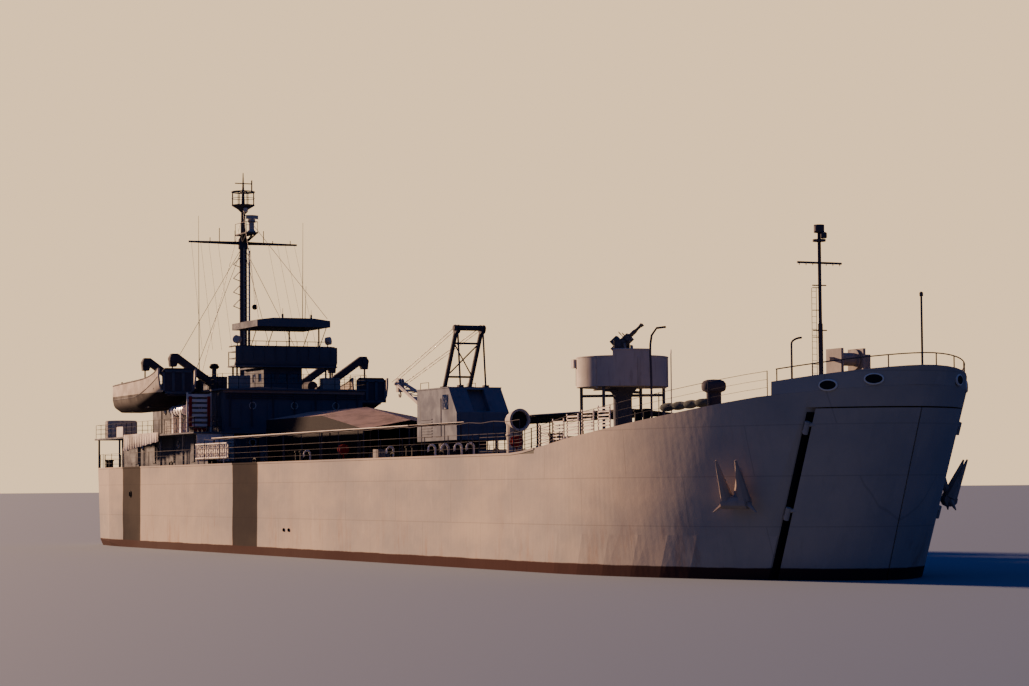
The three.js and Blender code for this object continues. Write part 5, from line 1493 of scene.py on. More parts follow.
@dataclass
class MainMast:
    """Pole mast with its yard, platforms, lantern, ladder and stays."""

    x: float = 14.6
    radius: float = 0.27
    yard_z: float = 23.75
    yard_half: float = 4.1
    top_radius: float = 0.82

    def build(self) -> None:
        """Makes the mast and its rigging."""
        add_piece("main_mast_pole", self.pole(), Finish.DARK, replaces=("main_mast",))
        add_piece("main_mast_platforms", self.platforms(), Finish.DARK)
        add_piece("main_mast_ladder", self.steps(), Finish.LIGHT)
        add_piece("main_mast_scanner", self.scanner(), Finish.LIGHT)
        add_piece("main_mast_stays", self.stays(), Finish.WIRE)
        add_piece("day_shapes", self.balls(), Finish.BLACK)

    def pole(self) -> Shape:
        """Stepped pole, yard with its fittings, cross arm and topmast."""
        x, z = self.x, self.yard_z
        profile = [[0.36, 0], [0.3, 0.12], [self.radius, 0.3], [self.radius, z - 13.3], [0.36, z - 13.25],
                   [0.36, z - 12.6], [0.18, z - 12.3], [0.15, 13.3], [0.09, 14.6], [0.06, 15.2], [0.03, 16.0]]
        pegs = xyz(x, np.array([-2.5, -1.8, -0.62, 1.55, 2.25, 3.6]), z)
        tall = np.array([0.35, 1.05, 0.9, 0.95, 0.25, 0.3])
        return joined([
            turned(profile, (x, 0, ROOF_Z), sides=20),
            bars([[x, -self.yard_half, z], [x, self.yard_half, z]], [x, 0, z], 0.07, 10, 0.13),
            bars(pegs, pegs + xyz(0, 0, tall), 0.03, 6), bars([x, -0.62, 28.08], [x, 0.62, 28.08], 0.04, 6),
            posts([x + 0.3, 0.55, 27.45], 0.85, 0.05, 8)])

    def platforms(self) -> Shape:
        """Radar bracket, dished top and the guard rails on them."""
        x, reach = self.x, self.top_radius
        dish = [[0.18, 26.0], [0.42, 26.22], [reach, 26.46], [reach + 0.02, 26.52], [0.2, 26.52]]
        turn = np.linspace(0, 2 * np.pi, 8, endpoint=False)
        guard = xyz(x + reach * np.cos(turn), reach * np.sin(turn), 26.5)
        spokes = np.array([[x - reach, 0, 27.46], [x, -reach, 27.46]])
        corners = xyz(x + np.array([-0.5, 0.7, 1.9, 1.9, 0.7, -0.5]), np.repeat([-0.42, 0.42], 3), 24.4)
        line = corners + [0, 0, 0.75]
        brackets = [bars([x + 0.1, y * 0.4, 23.75], [[x + 1.8, y, 24.3], [x + 0.9, y, 24.3]], 0.06, 6)
                    for y in (-0.35, 0.35)]
        return joined([
            blocks([x - 0.55, -0.45, 24.3], [2.5, 0.9, 0.1]), turned(dish, (x, 0, 0)),
            hoop((x, 0, 27.0), reach, 0.02, sides=28), hoop((x, 0, 27.46), reach, 0.045, sides=28),
            posts(guard, 0.98, 0.028), bars(spokes, spokes + [[2 * reach, 0, 0], [0, 2 * reach, 0]], 0.04, 6),
            posts(corners, 0.75, 0.02), bars(line[:-1], line[1:], 0.02, 6),
            bars([x, 0, 25.88], [x + 0.6, 0, 25.92], 0.08), *brackets])

    def steps(self) -> Shape:
        """Climbing ladder up the front of the pole, with the cable pipe beside it and cleats behind."""
        x = self.x
        z = np.array([19.0, 20.0, 21.0, 22.0])
        knee = xyz(x, -0.75, z + 0.2)
        return joined([
            ladder((x + 0.36, 0.12, ROOF_Z), (x + 0.36, 0.12, 23.4), 0.38, 0.32, 0.025),
            bars([x + 0.3, 0.36, ROOF_Z], [x + 0.3, 0.36, 23.2], 0.07), bars(xyz(x, -0.2, z), knee, 0.03, 6),
            bars(knee, xyz(x, -0.25, z + 0.7), 0.03, 6)])

    def scanner(self) -> Shape:
        """Search radar on its turning motor, and the masthead lantern."""
        centre = np.array([self.x + 1.35, 0.15, 24.4])
        motor = [[0.3, 0], [0.3, 0.12], [0.2, 0.2], [0.2, 0.7], [0.28, 0.78], [0.28, 0.95], [0.1, 1.02]]
        bow = np.linspace(-0.9, 0.9, 13)
        path = xyz(centre[0] + 0.3 - 0.22 * bow ** 2, centre[1] + bow * 0.5, 25.5)
        section = np.array([[-0.03, -0.14], [0.03, -0.14], [0.03, 0.14], [-0.03, 0.14]])
        lantern = [[0.1, 0], [0.16, 0.04], [0.16, 0.3], [0.1, 0.36]]
        return joined([turned(motor, centre, sides=18), swept(path, section),
                       turned(lantern, (self.x + 0.55, 0, 25.92), sides=14)])

    def stays(self) -> Shape:
        """Shrouds, forestays and signal halyards."""
        head = xyz(self.x, 0, [23.6] * 4 + [26.0] * 3)
        foot = [[9.4, -4.9, 12.9], [9.4, 4.9, 12.9], [16.8, -4.9, 12.9], [16.8, 4.9, 12.9],
                [24.8, -2.5, 17.7], [24.8, 2.5, 17.7], [2.2, 0, 11.2]]
        y = np.array([-3.9, -3.2, -2.6, -1.9, 1.9, 2.6, 3.2, 3.9])
        halyards = bars(xyz(self.x, y, self.yard_z), xyz(18.2, y * 1.1, 15.8), 0.009, 5)
        return joined([bars(head, foot, 0.018, 5), halyards])

    def balls(self) -> Shape:
        """Signal balls hoisted below the yard."""
        turn = np.linspace(-np.pi / 2, np.pi / 2, 9)
        ball = np.stack([0.2 * np.cos(turn) + 0.001, 0.2 * np.sin(turn)], axis=-1)
        line = bars([self.x + 0.9, 0.55, 19.3], [self.x, 0.5, self.yard_z], 0.009, 5)
        return joined([turned(ball, (self.x + 0.9, 0.55, 19.1), sides=16), line])


@dataclass
class ForeMast:
    """Light pole mast on the forecastle with its ladder, the jackstaff, a lamp standard and a small winch."""

    x: float = 91.5
    foot: float = 9.46
    standard_at: tuple[float, float] = (95.78, -4.16)

    def build(self) -> None:
        """Makes the mast's fittings."""
        for name in ("fore_mast", "jackstaff", "lamp_post"):
            refined_node(name, Finish.DARK)
        add_piece("fore_mast_ladder", self.steps(), Finish.DARK)
        add_piece("bow_lamp_standard", self.standard(), Finish.DARK)
        add_piece("forecastle_winch", self.winch(), Finish.GREY)
        add_piece("fore_mast_lights", self.lights(), Finish.DARK)

    def steps(self) -> Shape:
        """Ladder on the mast's after side with its stand-off arms and safety hoops."""
        x = self.x
        arm, hoops = np.array([10.3, 11.4, 12.6, 13.8, 14.8]), np.array([10.9, 12.9, 14.9])
        return joined([
            ladder((x - 0.16, -0.22, self.foot), (x - 0.14, -0.22, 14.8), 0.24, 0.28, 0.014),
            bars(xyz(x, 0, arm), xyz(x - 0.15, -0.3, arm), 0.02, 6),
            bars(xyz(x - 0.05, -0.36, hoops), xyz(x + 0.05, 0.3, hoops), 0.03, 6)])

    def standard(self) -> Shape:
        """Lamp standard by the rail: a pipe bent over at its head along a quarter circle, on a flange."""
        foot = np.array([*self.standard_at, self.foot])
        turn = np.linspace(0, np.pi / 2, 7)
        lean = 1 - np.cos(turn)
        bend = np.array([*self.standard_at, 12.0]) + xyz(0.42 * lean, 0.24 * lean, 0.24 * np.sin(turn))
        flange = turned([[0.0, 0], [0.14, 0], [0.14, 0.04], [0.0, 0.04]], foot)
        return joined([tube(np.concatenate([foot[None], bend]), 0.045), flange])

    def winch(self) -> Shape:
        """Small winch on a plinth ahead of the windlass: two cheeks, a drum on its axle, and the motor."""
        drum = [[0, 0], [0.45, 0], [0.45, 0.06], [0.28, 0.08],
                [0.28, 0.84], [0.45, 0.86], [0.45, 0.92], [0, 0.92]]
        low = [[94.8, -1.95, 9.8], [94.9, -1.9, 10.78], [94.9, -0.8, 10.78], [95.0, -0.64, 10.78]]
        high = [[96.3, -0.25, 10.8], [96.1, -1.78, 11.85], [96.1, -0.68, 11.85], [95.9, -0.3, 11.6]]
        return joined([boxes(low, high), turned(drum, (95.5, -1.75, 11.4), (0, 1, 0), 20),
                       bars([95.5, -2.15, 11.4], [95.5, -0.6, 11.4], 0.09, 10)])

    def lights(self) -> Shape:
        """Lanterns on the top platforms with their guards, and pegs on the yard."""
        lantern = [[0.1, 0], [0.15, 0.03], [0.15, 0.24], [0.1, 0.28]]
        lamp = [[0.04, 0], [0.08, 0.02], [0.08, 0.16], [0.04, 0.18]]
        pegs = posts(xyz(self.x, np.linspace(-1.05, 1.05, 7), 15.78), 0.12, 0.02)
        return joined([
            turned(lantern, (self.x + 0.18, 0.12, 16.98), sides=12),
            turned(lantern, (self.x + 0.1, -0.12, 17.28), sides=12), pegs,
            turned(lamp, (99.3, 0, 13.85), sides=10)])


@dataclass
class GunTub:
    """Forward tub on its pedestal, with the gun in it."""

    x: float = 72.7
    radius: float = 2.35
    floor: float = 11.1
    top: float = 12.6
    screen: float = 0.33
    trunnion: float = 13.3
    bearing: float = 50.0
    elevation: float = 42.0

    def build(self) -> None:
        """Dresses the tub and the gun and adds their fittings."""
        refined_node("forward_gun_tub", Finish.LIGHT)
        refined_node("gun_tub_pedestal", Finish.HOUSE)
        refined_node("gun_carriage", Finish.GUN, bevel=0.01)
        refined_node("gun_cradle", Finish.GUN, bevel=0.01)
        add_piece("tub_plate_laps", self.laps(), Finish.LIGHT)
        add_piece("tub_rim", self.rim(), Finish.LIGHT)
        add_piece("tub_ladder", self.steps(), Finish.WHITE)
        add_piece("tub_lockers", self.lockers(), Finish.GREY, bevel=0.01)
        add_piece("gun_training_gear", self.training_gear(), Finish.GUN, "gun_carriage")
        add_piece("gun_recoil_gear", self.recoil_gear(), Finish.GUN, "gun_cradle")

    def rim(self) -> Shape:
        """Rounded edge of the tub, which steps up over the screen on its fore starboard side."""
        reach = self.radius - 0.03
        return joined([
            hoop((self.x, 0, self.top), reach, 0.045, sides=44, start=-230.5, sweep=311.5),
            hoop((self.x, 0, self.top + self.screen), reach, 0.045, sides=12, start=81, sweep=48.5)])

    def steps(self) -> Shape:
        """Ladder at the tub's port side whose stringers bend over into a handrail, and a bracket opposite."""
        out, along = np.array([0.469, 0.883, 0.0]), np.array([0.883, -0.469, 0.0])
        centre = np.array([self.x, 0, 0])
        at = centre + out * (self.radius + 0.14)
        head = at + 12.8 * UP
        turn = np.linspace(0, np.pi, 9)[:, None]
        far = centre - out * (self.radius + 0.02)
        return joined([
            ladder(at + 7.7 * UP, head, 0.4, 0.3, 0.028, along),
            tube(head + 0.2 * np.cos(turn) * along + 0.2 * np.sin(turn) * UP, 0.03, 6),
            blocks(far + [-0.14, -0.2, 12.1], [0.28, 0.22, 0.45])])

    def laps(self) -> Shape:
        """Vertical butt straps round the tub and the brackets under its floor."""
        turn = np.radians([-168, -118, -62, -8, 48, 102, 155])
        out = xyz(np.cos(turn), np.sin(turn), 0)
        strap = [self.x, 0, self.floor + 0.1] + out * (self.radius - 0.005)
        foot = [self.x, 0, self.floor - 0.05] + 1.2 * out[::2]
        brackets = bars(foot, foot + 1.1 * out[::2], 0.05, 6)
        return joined([posts(strap, self.top - self.floor - 0.15, 0.03), brackets])

    def lockers(self) -> Shape:
        """Ready-use lockers inside the tub."""
        low = xyz([self.x - 1.95, self.x - 1.2], [-0.9, -1.75], self.floor + 0.1)
        return blocks(low, [[0.35, 1.8, 0.85], [1.5, 0.25, 0.7]])

    def aimed(self, shape: Shape, lift: float = 0.0) -> Shape:
        """Turns a shape made with the gun level and ahead to its place at rest.

        Args:
            shape: The shape, which is changed.
            lift: Degrees that it rises about the trunnions, before it goes round to the gun's bearing.

        Returns:
            The same shape.
        """
        sine, cosine = np.sin(np.radians([lift, self.bearing])), np.cos(np.radians([lift, self.bearing]))
        rise = np.array([[cosine[0], 0, sine[0]], [0, 1, 0], [-sine[0], 0, cosine[0]]])
        turn = np.array([[cosine[1], sine[1], 0], [-sine[1], cosine[1], 0], [0, 0, 1]])
        pivot = [self.x, 0, self.trunnion]
        shape.points = [(points - pivot) @ rise @ turn + pivot for points in shape.points]
        return shape

    def training_gear(self) -> Shape:
        """Seats, footrests, handwheels and splinter shields that train with the gun."""
        x = self.x
        low = [[x + 0.3, 0.6, 11.9], [x + 0.3, -1.1, 11.9], [x - 0.4, 0.7, 12.2], [x - 0.4, -1.05, 12.2]]
        shape = blocks(low, [[0.05, 0.5, 1.4]] * 2 + [[0.35, 0.35, 0.08]] * 2)
        for side in SIDES:
            shape.take(hoop((x + 0.02, side * 0.78, 12.75), 0.17, 0.025, (0.3, 0, 1), 18))
            shape.take(bars([[x, side * 0.5, 12.5], [x - 0.3, side * 0.45, 11.9]],
                            [[x + 0.02, side * 0.78, 12.75], [x - 0.25, side * 0.92, 12.2]], [0.03, 0.04], 6))
        return self.aimed(shape)

    def recoil_gear(self) -> Shape:
        """Recoil springs, flash cones, loading trays and sights that elevate with the barrels."""
        x, z = self.x, self.trunnion
        spring = [[0.08, 0.6], [0.08, 0.95], [0.06, 0.98], [0.06, 1.05]]
        cone = [[0.06, 1.3], [0.09, 1.47], [0.08, 1.47], [0.03, 1.34]]
        shape = Shape()
        for side in SIDES:
            for profile in (spring, cone):
                shape.take(turned(profile, (x, side * 0.16, z + 0.03), (1, 0, 0), 14))
            shape.take(blocks([x - 0.35, side * 0.16 - 0.1, z + 0.2], [0.45, 0.2, 0.3]))
            shape.take(hoop((x + 0.35, side * 0.42, z + 0.42), 0.1, 0.015, (1, 0, 0), 16))
            shape.take(bars([x + 0.35, side * 0.34, z + 0.1], [x + 0.35, side * 0.42, z + 0.33], 0.02, 6))
        return self.aimed(shape, self.elevation)


@dataclass
class SternTubs:
    """The two small tubs at the stern."""

    x: float = 4.0
    y: float = 5.9
    radius: float = 1.15

    def build(self) -> None:
        """Dresses the tubs and adds rims and straps."""
        turn = np.linspace(0, 2 * np.pi, 10, endpoint=False)
        for side, tag in TAGS.items():
            refined_node(f"stern_tub_{tag}", Finish.LIGHT)
            strap = xyz(self.x + self.radius * np.cos(turn), side * self.y + self.radius * np.sin(turn), 9.96)
            rim = hoop((self.x, side * self.y, 11.18), self.radius - 0.05, 0.05, sides=40)
            add_piece(f"stern_tub_rim_{tag}", rim.take(posts(strap, 1.2, 0.02)), Finish.LIGHT)


@dataclass
class LandingBoats:
    """Square-bowed boats in their davits, one on each side."""

    x0: float = 10.9
    x1: float = 21.3
    y: float = 7.1
    keel: float = 11.6
    half: float = 1.6
    wall: float = 0.12
    port_drop: float = 0.5
    davit_x: tuple[float, float] = (13.9, 20.2)

    def build(self) -> None:
        """Makes both boats with their ramps and gear."""
        for side, tag in TAGS.items():
            add_piece(f"boat_shell_{tag}", self.shell(side), Finish[f"BOAT_{tag.upper()}"],
                      replaces=(f"landing_boat_{tag}",))
            add_piece(f"boat_gear_{tag}", self.gear(side), Finish.DARK)
            add_piece(f"boat_rubber_{tag}", self.rubbing(side), Finish.DARK)
            refined_node(f"boat_ramp_{tag}", Finish.DARK, bevel=0.02)
            add_piece(f"boat_ramp_ribs_{tag}", self.ramp_ribs(side), Finish.BRIDGE, f"boat_ramp_{tag}")
            for end in ("aft", "forward"):
                refined_node(f"davit_{end}_{tag}", Finish.DARK, bevel=0.02)
            add_piece(f"davit_gear_{tag}", self.davit_gear(side), Finish.DARK)

    def place(self, side: int) -> Array:
        """Shift of a boat from the middle line at its full height; the port one hangs lower."""
        return np.array([0, side * self.y, -self.port_drop if side > 0 else 0.0])

    def section(self, s: Array, inset: float, share: Array) -> Array:
        """Half section of the hull from keel to gunwale.

        The chine follows straight lines through keel, bilge and side, with half breadth
        half (0.92 + 0.3 s - 0.36 s^2), a keel that rises as (2 s - 1)^1.5 and a gunwale that rises as s^8.

        Args:
            s: Share of the boat's length from its stern.
            inset: Distance inside the plating.
            share: Share of the way from keel to gunwale.

        Returns:
            Points over both shares.
        """
        half = self.half * (0.92 + 0.3 * s - 0.36 * s * s) - inset
        keel = self.keel + 0.95 * np.maximum(0, (s - 0.5) * 2) ** 1.5 + inset
        gunwale = self.keel + 1.9 + 0.25 * s + 0.6 * s ** 8
        knots = np.array([0.0, 0.33, 0.5, 0.64, 1.0])
        ys = np.stack([0 * half, half * 0.55, half * 0.92, half, half], axis=-1)
        zs = np.stack([keel, keel, keel + 0.35, keel + 0.85 + 0.35 * s ** 4, gunwale], axis=-1)
        index = np.clip(np.searchsorted(knots, share, side="right") - 1, 0, 3)
        mix = (share - knots[index]) / (knots[index + 1] - knots[index])
        y, z = (ends[:, index] * (1 - mix) + ends[:, index + 1] * mix for ends in (ys, zs))
        return xyz((self.x0 + s * (self.x1 - self.x0))[:, None], y, z)

    def shell(self, side: int) -> Shape:
        """Thin hull plating with its transom."""
        port = self.section(np.linspace(0, 1, 40), self.wall / 2, np.linspace(1, 0, 22))
        whole = np.concatenate([port, (port * [1, -1, 1])[:, ::-1][:, 1:]], axis=1)
        transom = skinned(np.stack([whole[0], whole[0] + [0.1, 0, 0]]))
        return joined([panel(whole, self.wall), transom]).moved(self.place(side))

    def gear(self, side: int) -> Shape:
        """Engine box, coxswain's stand, lifting beams, floor, ramp hinge and the gear along the gunwale."""
        aft, fore = self.davit_x
        low = [[11.7, -0.6, 11.9], [11.3, 0.65, 12.3], [aft - 0.1, -1.42, 12.95], [fore - 0.1, -1.38, 12.95],
               [21.1, -0.72, 12.48], [21.1, 0.6, 12.48], [11.3, -1.0, 11.78]]
        size = [[1.0, 1.2, 1.4], [0.7, 0.55, 1.6], [0.2, 2.84, 0.2], [0.2, 2.76, 0.2],
                [0.31, 0.12, 0.08], [0.31, 0.12, 0.08], [6.7, 2.0, 0.06]]
        x = np.linspace(12.4, 19.4, 15)
        foot = xyz(x, -1.42, 13.45)
        pin = xyz(21.41, [-0.72, 0.6], 12.52)
        return joined([
            blocks(low, size), bars(foot, foot + xyz(0.15, 0, 0.14 + 0.1 * np.sin(x * 5)), 0.06, 6),
            hoop((12.1, 0.9, 13.6), 0.2, 0.03, (1, 0, 0.4), 16), bars(pin, pin + [0, 0.12, 0], 0.055, 12),
        ]).moved(self.place(side))

    def rubbing(self, side: int) -> Shape:
        """Rubbing strakes along the gunwale and the chine, on both sides of the boat."""
        s = np.linspace(0.0, 0.99, 30)
        shape = Shape()
        for share, radius in ((1.0, 0.07), (0.64, 0.06)):
            line = self.section(s, 0.05, np.array([share]))[:, 0]
            for hand in SIDES:
                shape.take(tube(line * [1, hand, 1], radius))
        return shape.moved(self.place(side))

    def ramp_ribs(self, side: int) -> Shape:
        """Frame and bars on the outer face of a boat's ramp."""
        low = xyz(21.475, [-1.1, 0.95, -1.1, -1.1, -0.45, 0.25], [12.6, 12.6, 14.05, 12.6, 12.7, 12.7])
        high = xyz(21.53, [-0.95, 1.1, 1.1, 1.1, -0.25, 0.45], [14.15, 14.15, 14.2, 12.75, 14.1, 14.1])
        return boxes(low, high).moved(self.place(side))

    def davit_gear(self, side: int) -> Shape:
        """Sheaves, fall wires, gripes and winch of a pair of davits."""
        y, face = side * self.y, np.array([-0.24, 0.24])
        shape = blocks([16.2, side * 4.2 - 0.6, 12.86], [1.4, 1.2, 0.25])
        for x in self.davit_x:
            wire = xyz(x + face * 0.5, y, 13.6 + self.place(side)[2])
            shape.take(bars(xyz(x + face - 0.03, y, 15.05), xyz(x + face + 0.03, y, 15.05), 0.24, 18))
            shape.take(posts(wire, 14.9 - wire[0, 2], 0.018, 5))
            shape.take(bars([x, side * 5.1, 13.6], [x, side * 6.9, 15.25], 0.03, 6))
            shape.take(blocks([x - 0.3, side * 3.9 - 0.4, 12.86], [0.6, 0.8, 0.14]))
        return shape.take(bars([16.3, side * 4.2, 13.35], [17.5, side * 4.2, 13.35], 0.38, 20))


@dataclass
class Crane:
    """Deck crane: house, gantry, boom and topping wires."""

    top: tuple[float, float, float] = (53.9, 0.8, 15.3)
    foot: tuple[float, float] = (49.72, 10.45)
    tip: tuple[float, float] = (43.5, 12.5)
    house_half: float = 1.66

    def build(self) -> None:
        """Dresses the crane and adds its fittings."""
        refined_node("crane_base", Finish.DARK)
        refined_node("crane_house", Finish.CRANE, bevel=0.03)
        refined_node("crane_gantry", Finish.DARK)
        refined_node("crane_boom", Finish.LIGHT)
        add_piece("crane_seams", self.seams(), Finish.CRANE, "crane")
        add_piece("crane_windows", self.windows(), Finish.GLASS, "crane")
        add_piece("crane_rails", self.rails(), Finish.DARK, "crane")
        add_piece("gantry_sheaves", self.sheaves(), Finish.DARK, "crane")
        add_piece("boom_lacing", self.lacing(), Finish.LIGHT, "crane_boom")
        self.topping_wires()

    def seams(self) -> Shape:
        """Raised joints of the house's plates and the louvres of its engine space."""
        low = [[55.69, -1.67, 8.76], [55.69, -0.02, 8.76], [55.69, -1.67, 9.5], [50.0, -1.68, 11.76]]
        shape = blocks(low, [[0.04, 0.07, 1.59], [0.04, 0.04, 1.59], [0.04, 3.34, 0.05], [4.62, 3.36, 0.07]])
        for side in SIDES:
            y = side * self.house_half - 0.02
            shape.take(blocks(xyz(50.6, y, np.linspace(9.0, 10.0, 7)), [1.6, 0.04, 0.07]))
            shape.take(blocks([52.7, y, 9.0], [0.8, 0.04, 2.2]))
        return shape

    def windows(self) -> Shape:
        """Side windows of the driver's place."""
        return blocks([[53.75, side * self.house_half - 0.015, 10.55] for side in SIDES], [0.75, 0.03, 0.85])

    def rails(self) -> Shape:
        """Grab rails on the roof."""
        low = np.array([[[x, side * 1.5, 11.82] for x in (50.2, 51.4)] for side in SIDES])
        high = low + 0.38 * UP
        return joined([posts(low.reshape(-1, 3), 0.38, 0.02), bars(high[:, 0], high[:, 1], 0.02, 6)])

    def sheaves(self) -> Shape:
        """Sheaves at the gantry's head."""
        x, y, z = self.top
        at = xyz(x, np.add.outer([y, -y], [-0.1, 0.1]).ravel() - 0.03, z - 0.1)
        return bars(at, at + [0, 0.06, 0], 0.26, 18)

    def lacing(self) -> Shape:
        """Diagonal bars between the boom's two sides, sheaves at its head and the hook."""
        share = np.linspace(0.03, 0.97, 12)
        foot, tip = np.array(self.foot), np.array(self.tip)
        x, z = (foot + share[:, None] * (tip - foot)).T
        zigzag = xyz(x, np.resize([1, -1], 12) * (0.75 - 0.5 * share), z)
        sheave = xyz(self.tip[0], np.array([-0.19, -0.04, 0.11]), self.tip[1])
        return joined([bars(zigzag[:-1], zigzag[1:], 0.035, 6), bars(sheave, sheave + [0, 0.08, 0], 0.3, 18),
                       hoop((43.52, 0, 11.78), 0.14, 0.045, (0, 1, 0), 16, -200, 270)])

    def topping_wires(self) -> None:
        """Wires from the gantry's head to the boom's head."""
        x, y, z = self.top
        share = np.linspace(0, 1, 13)[:, None]
        shape = Shape()
        for side in SIDES:
            for off in (-0.12, 0.12):
                start = np.array([x - 0.05, side * y + off, z])
                end = np.array([self.tip[0] + 0.1, side * 0.45 + off, self.tip[1] + 0.05])
                shape.take(tube(start + (end - start) * share, 0.022, 6))
        mesh = shape.mesh("topping_wires")
        mesh.shade_smooth()
        mesh.materials.append(Finish.WIRE.material())
        wires = bpy.data.objects.new("topping_wires", mesh)
        bpy.context.scene.collection.objects.link(wires)
        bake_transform(wires)
        LOG.info("piece topping_wires: %d faces between crane and crane_boom", len(mesh.polygons))


@dataclass
class DeckGear:
    """Ventilators, windlass, hatch, winch, rafts, anchors and loose gear on deck."""

    links: int = 34
    turns: int = 16

    def build(self) -> None:
        """Dresses the nodes and adds their fittings."""
        rows = (("cowl_vent", Finish.LIGHT, 0.0), ("anchor", Finish.ANCHOR, 0.02))
        for name, finish, bevel in rows:
            for tag in TAGS.values():
                refined_node(f"{name}_{tag}", finish, bevel=bevel)
        refined_node("windlass", Finish.DARK, bevel=0.02)
        refined_node("stern_winch", Finish.DARK, bevel=0.02)
        refined_node("cargo_hatch", Finish.GREY, bevel=0.02)
        for tag in TAGS.values():
            refined_node(f"liferaft_{tag}", Finish.RAFT)
        add_piece("cowl_rims", self.cowl_rims(), Finish.LIGHT)
        # Black discs in the cowls' mouths are painted shade
        add_piece("cowl_painted_shade_discs", self.painted_shade_discs(), Finish.BLACK)
        add_piece("hatch_clips", self.hatch_clips(), Finish.DARK)
        refined_node("hatch_tent", Finish.CANVAS_TENT, smooth=10)
        for tag in TAGS.values():
            refined_node(f"mushroom_vent_{tag}", Finish.DARK, bevel=0.06)
        add_piece("vent_domes", self.domes(), Finish.DARK)
        add_piece("bow_awning_roll", self.roll(), Finish.CANVAS_DARK)
        add_piece("mushroom_vents", self.mushrooms(), Finish.GREY)
        add_piece("winch_wire", self.winch_wire(), Finish.WIRE)
        add_piece("windlass_wildcats", self.wildcats(), Finish.DARK)
        add_piece("anchor_chains", self.chains(), Finish.IRON)
        add_piece("raft_straps", self.straps(), Finish.BLACK)
        add_piece("hose_reels", self.reels(), Finish.RED)
        add_piece("deck_lockers", self.lockers(), Finish.GREY, bevel=0.02)
        add_piece("slatted_racks", self.racks(), Finish.WHITE)

    def cowl_rims(self) -> Shape:
        """Rolled lip of each cowl and the turning ring on its neck."""
        return joined(hoop((x, side * 5.5, z), radius, wire, axis, sides) for side in SIDES
                      for x, z, radius, wire, axis, sides in (
                          (72.08, 9.44, 0.54, 0.035, (1, 0, 0), 32), (71.4, 8.7, 0.41, 0.04, (0, 0, 1), 24)))

    def painted_shade_discs(self) -> Shape:
        """Painted shade: a black disc set back in each cowl's mouth, for the shade of its inside."""
        at = xyz(71.93, [5.5, -5.5], 9.44)
        return bars(at, at + [0.03, 0, 0], 0.46, 32)

    def domes(self) -> Shape:
        """Broad turned caps of the forecastle's mushroom vents, round at the rim and nearly flat on top."""
        profile = [[0.47, -0.5], [0.53, -0.42], [0.55, -0.3], [0.54, -0.16],
                   [0.46, -0.05], [0.3, 0.01], [0.02, 0.03]]
        return joined(turned(profile, (89.8, side * 4.5, 10.72), sides=28) for side in SIDES)

    def roll(self) -> Shape:
        """Rolled canvas lashed along the forecastle by the bulwark, drawn in at each lashing."""
        share = np.linspace(0, 1, 25)
        radius = 0.19 - 0.05 * np.abs(np.cos(np.pi * share * 4)) ** 6
        start, end = np.array([87.6, -5.9, 9.55]), np.array([90.3, -5.1, 9.72])
        path = start + (end - start) * share[:, None]
        side, up = across(unit(np.gradient(path, axis=0)))
        return skinned(carried(path, radius[:, None, None] * ring_section(1.0, 14), side, up))

    def hatch_clips(self) -> Shape:
        """Clips and beams of the cargo hatch."""
        x, y = np.linspace(31.4, 38.1, 9), np.linspace(-2.4, 2.4, 7)
        clips = [blocks(xyz(x, side * 2.95 - 0.06, 8.3), [0.14, 0.12, 0.36]) for side in SIDES]
        return joined([*clips, blocks(xyz(31.0, y - 0.05, 8.62), [7.5, 0.1, 0.05])])

    def mushrooms(self) -> Shape:
        """Domed vents on short necks, along the deck."""
        profile = np.array([
            [0.4, 0], [0.4, 0.75], [0.56, 0.78], [0.58, 0.9], [0.5, 1.06], [0.3, 1.16], [0.05, 1.2]])
        places = ((77.6, -5.9, 0.55), (63.0, 2.6, 0.7), (47.0, 2.8, 0.7), (66.5, 0.6, 0.6), (79.0, -1.8, 0.6))
        return joined(turned(profile * size, (x, y, HullLines.deck_z(x) - 0.03)) for x, y, size in places)

    def winch_wire(self) -> Shape:
        """Turns of wire on the stern winch: a helix r (cos a, sin a) that advances along the drum."""
        turn = np.linspace(0, 2 * np.pi * self.turns, self.turns * 24)
        out = xyz(np.cos(turn), 0, np.sin(turn))
        path = xyz(3.1, np.linspace(-0.9, 0.9, len(turn)), 8.7) + 0.58 * out
        side = np.cross(unit(np.gradient(path, axis=0)), out)
        return skinned(carried(path, ring_section(0.05, 6), out, side))

    def wildcats(self) -> Shape:
        """Chain wheels and warping ends of the windlass."""
        end = [[0.2, 0], [0.32, 0.03], [0.26, 0.2], [0.32, 0.36], [0.34, 0.4], [0.2, 0.42]]
        ends = [turned(end, (93.4, side * 1.45, 10.4), (0, side, 0), 20) for side in SIDES]
        return joined(ends + [hoop((93.4, side * 0.8, 10.4), 0.42, 0.09, (0, 1, 0)) for side in SIDES])

    def chains(self) -> Shape:
        """Anchor chains from the windlass to the hawse pipes: links laid by turns flat and upright."""
        turn = np.linspace(0, 2 * np.pi, 12, endpoint=False)[:, None]
        shape = Shape()
        for side in SIDES:
            start, end = np.array([92.9, side * 0.8, 9.72]), np.array([89.6, side * 3.2, 9.33])
            ahead = unit(end - start)
            level = unit(np.cross(ahead, UP))
            for number, share in enumerate(np.linspace(0, 1, self.links)):
                broad = level if number % 2 else np.cross(level, ahead)
                link = 0.1 * np.cos(turn) * ahead + 0.055 * np.sin(turn) * broad
                shape.take(tube(start + (end - start) * share + link, 0.022, 5, closed=True))
        return shape

    def straps(self) -> Shape:
        """Lashing bands and end ribs of the raft canisters."""
        return joined(hoop((x, side * 6.85, z), 0.385, 0.022, (1, 0, 0), 28)
                      for side, z in ((1, 10.95), (-1, 11.45)) for x in (20.0, 20.6, 21.2, 21.8, 22.4))

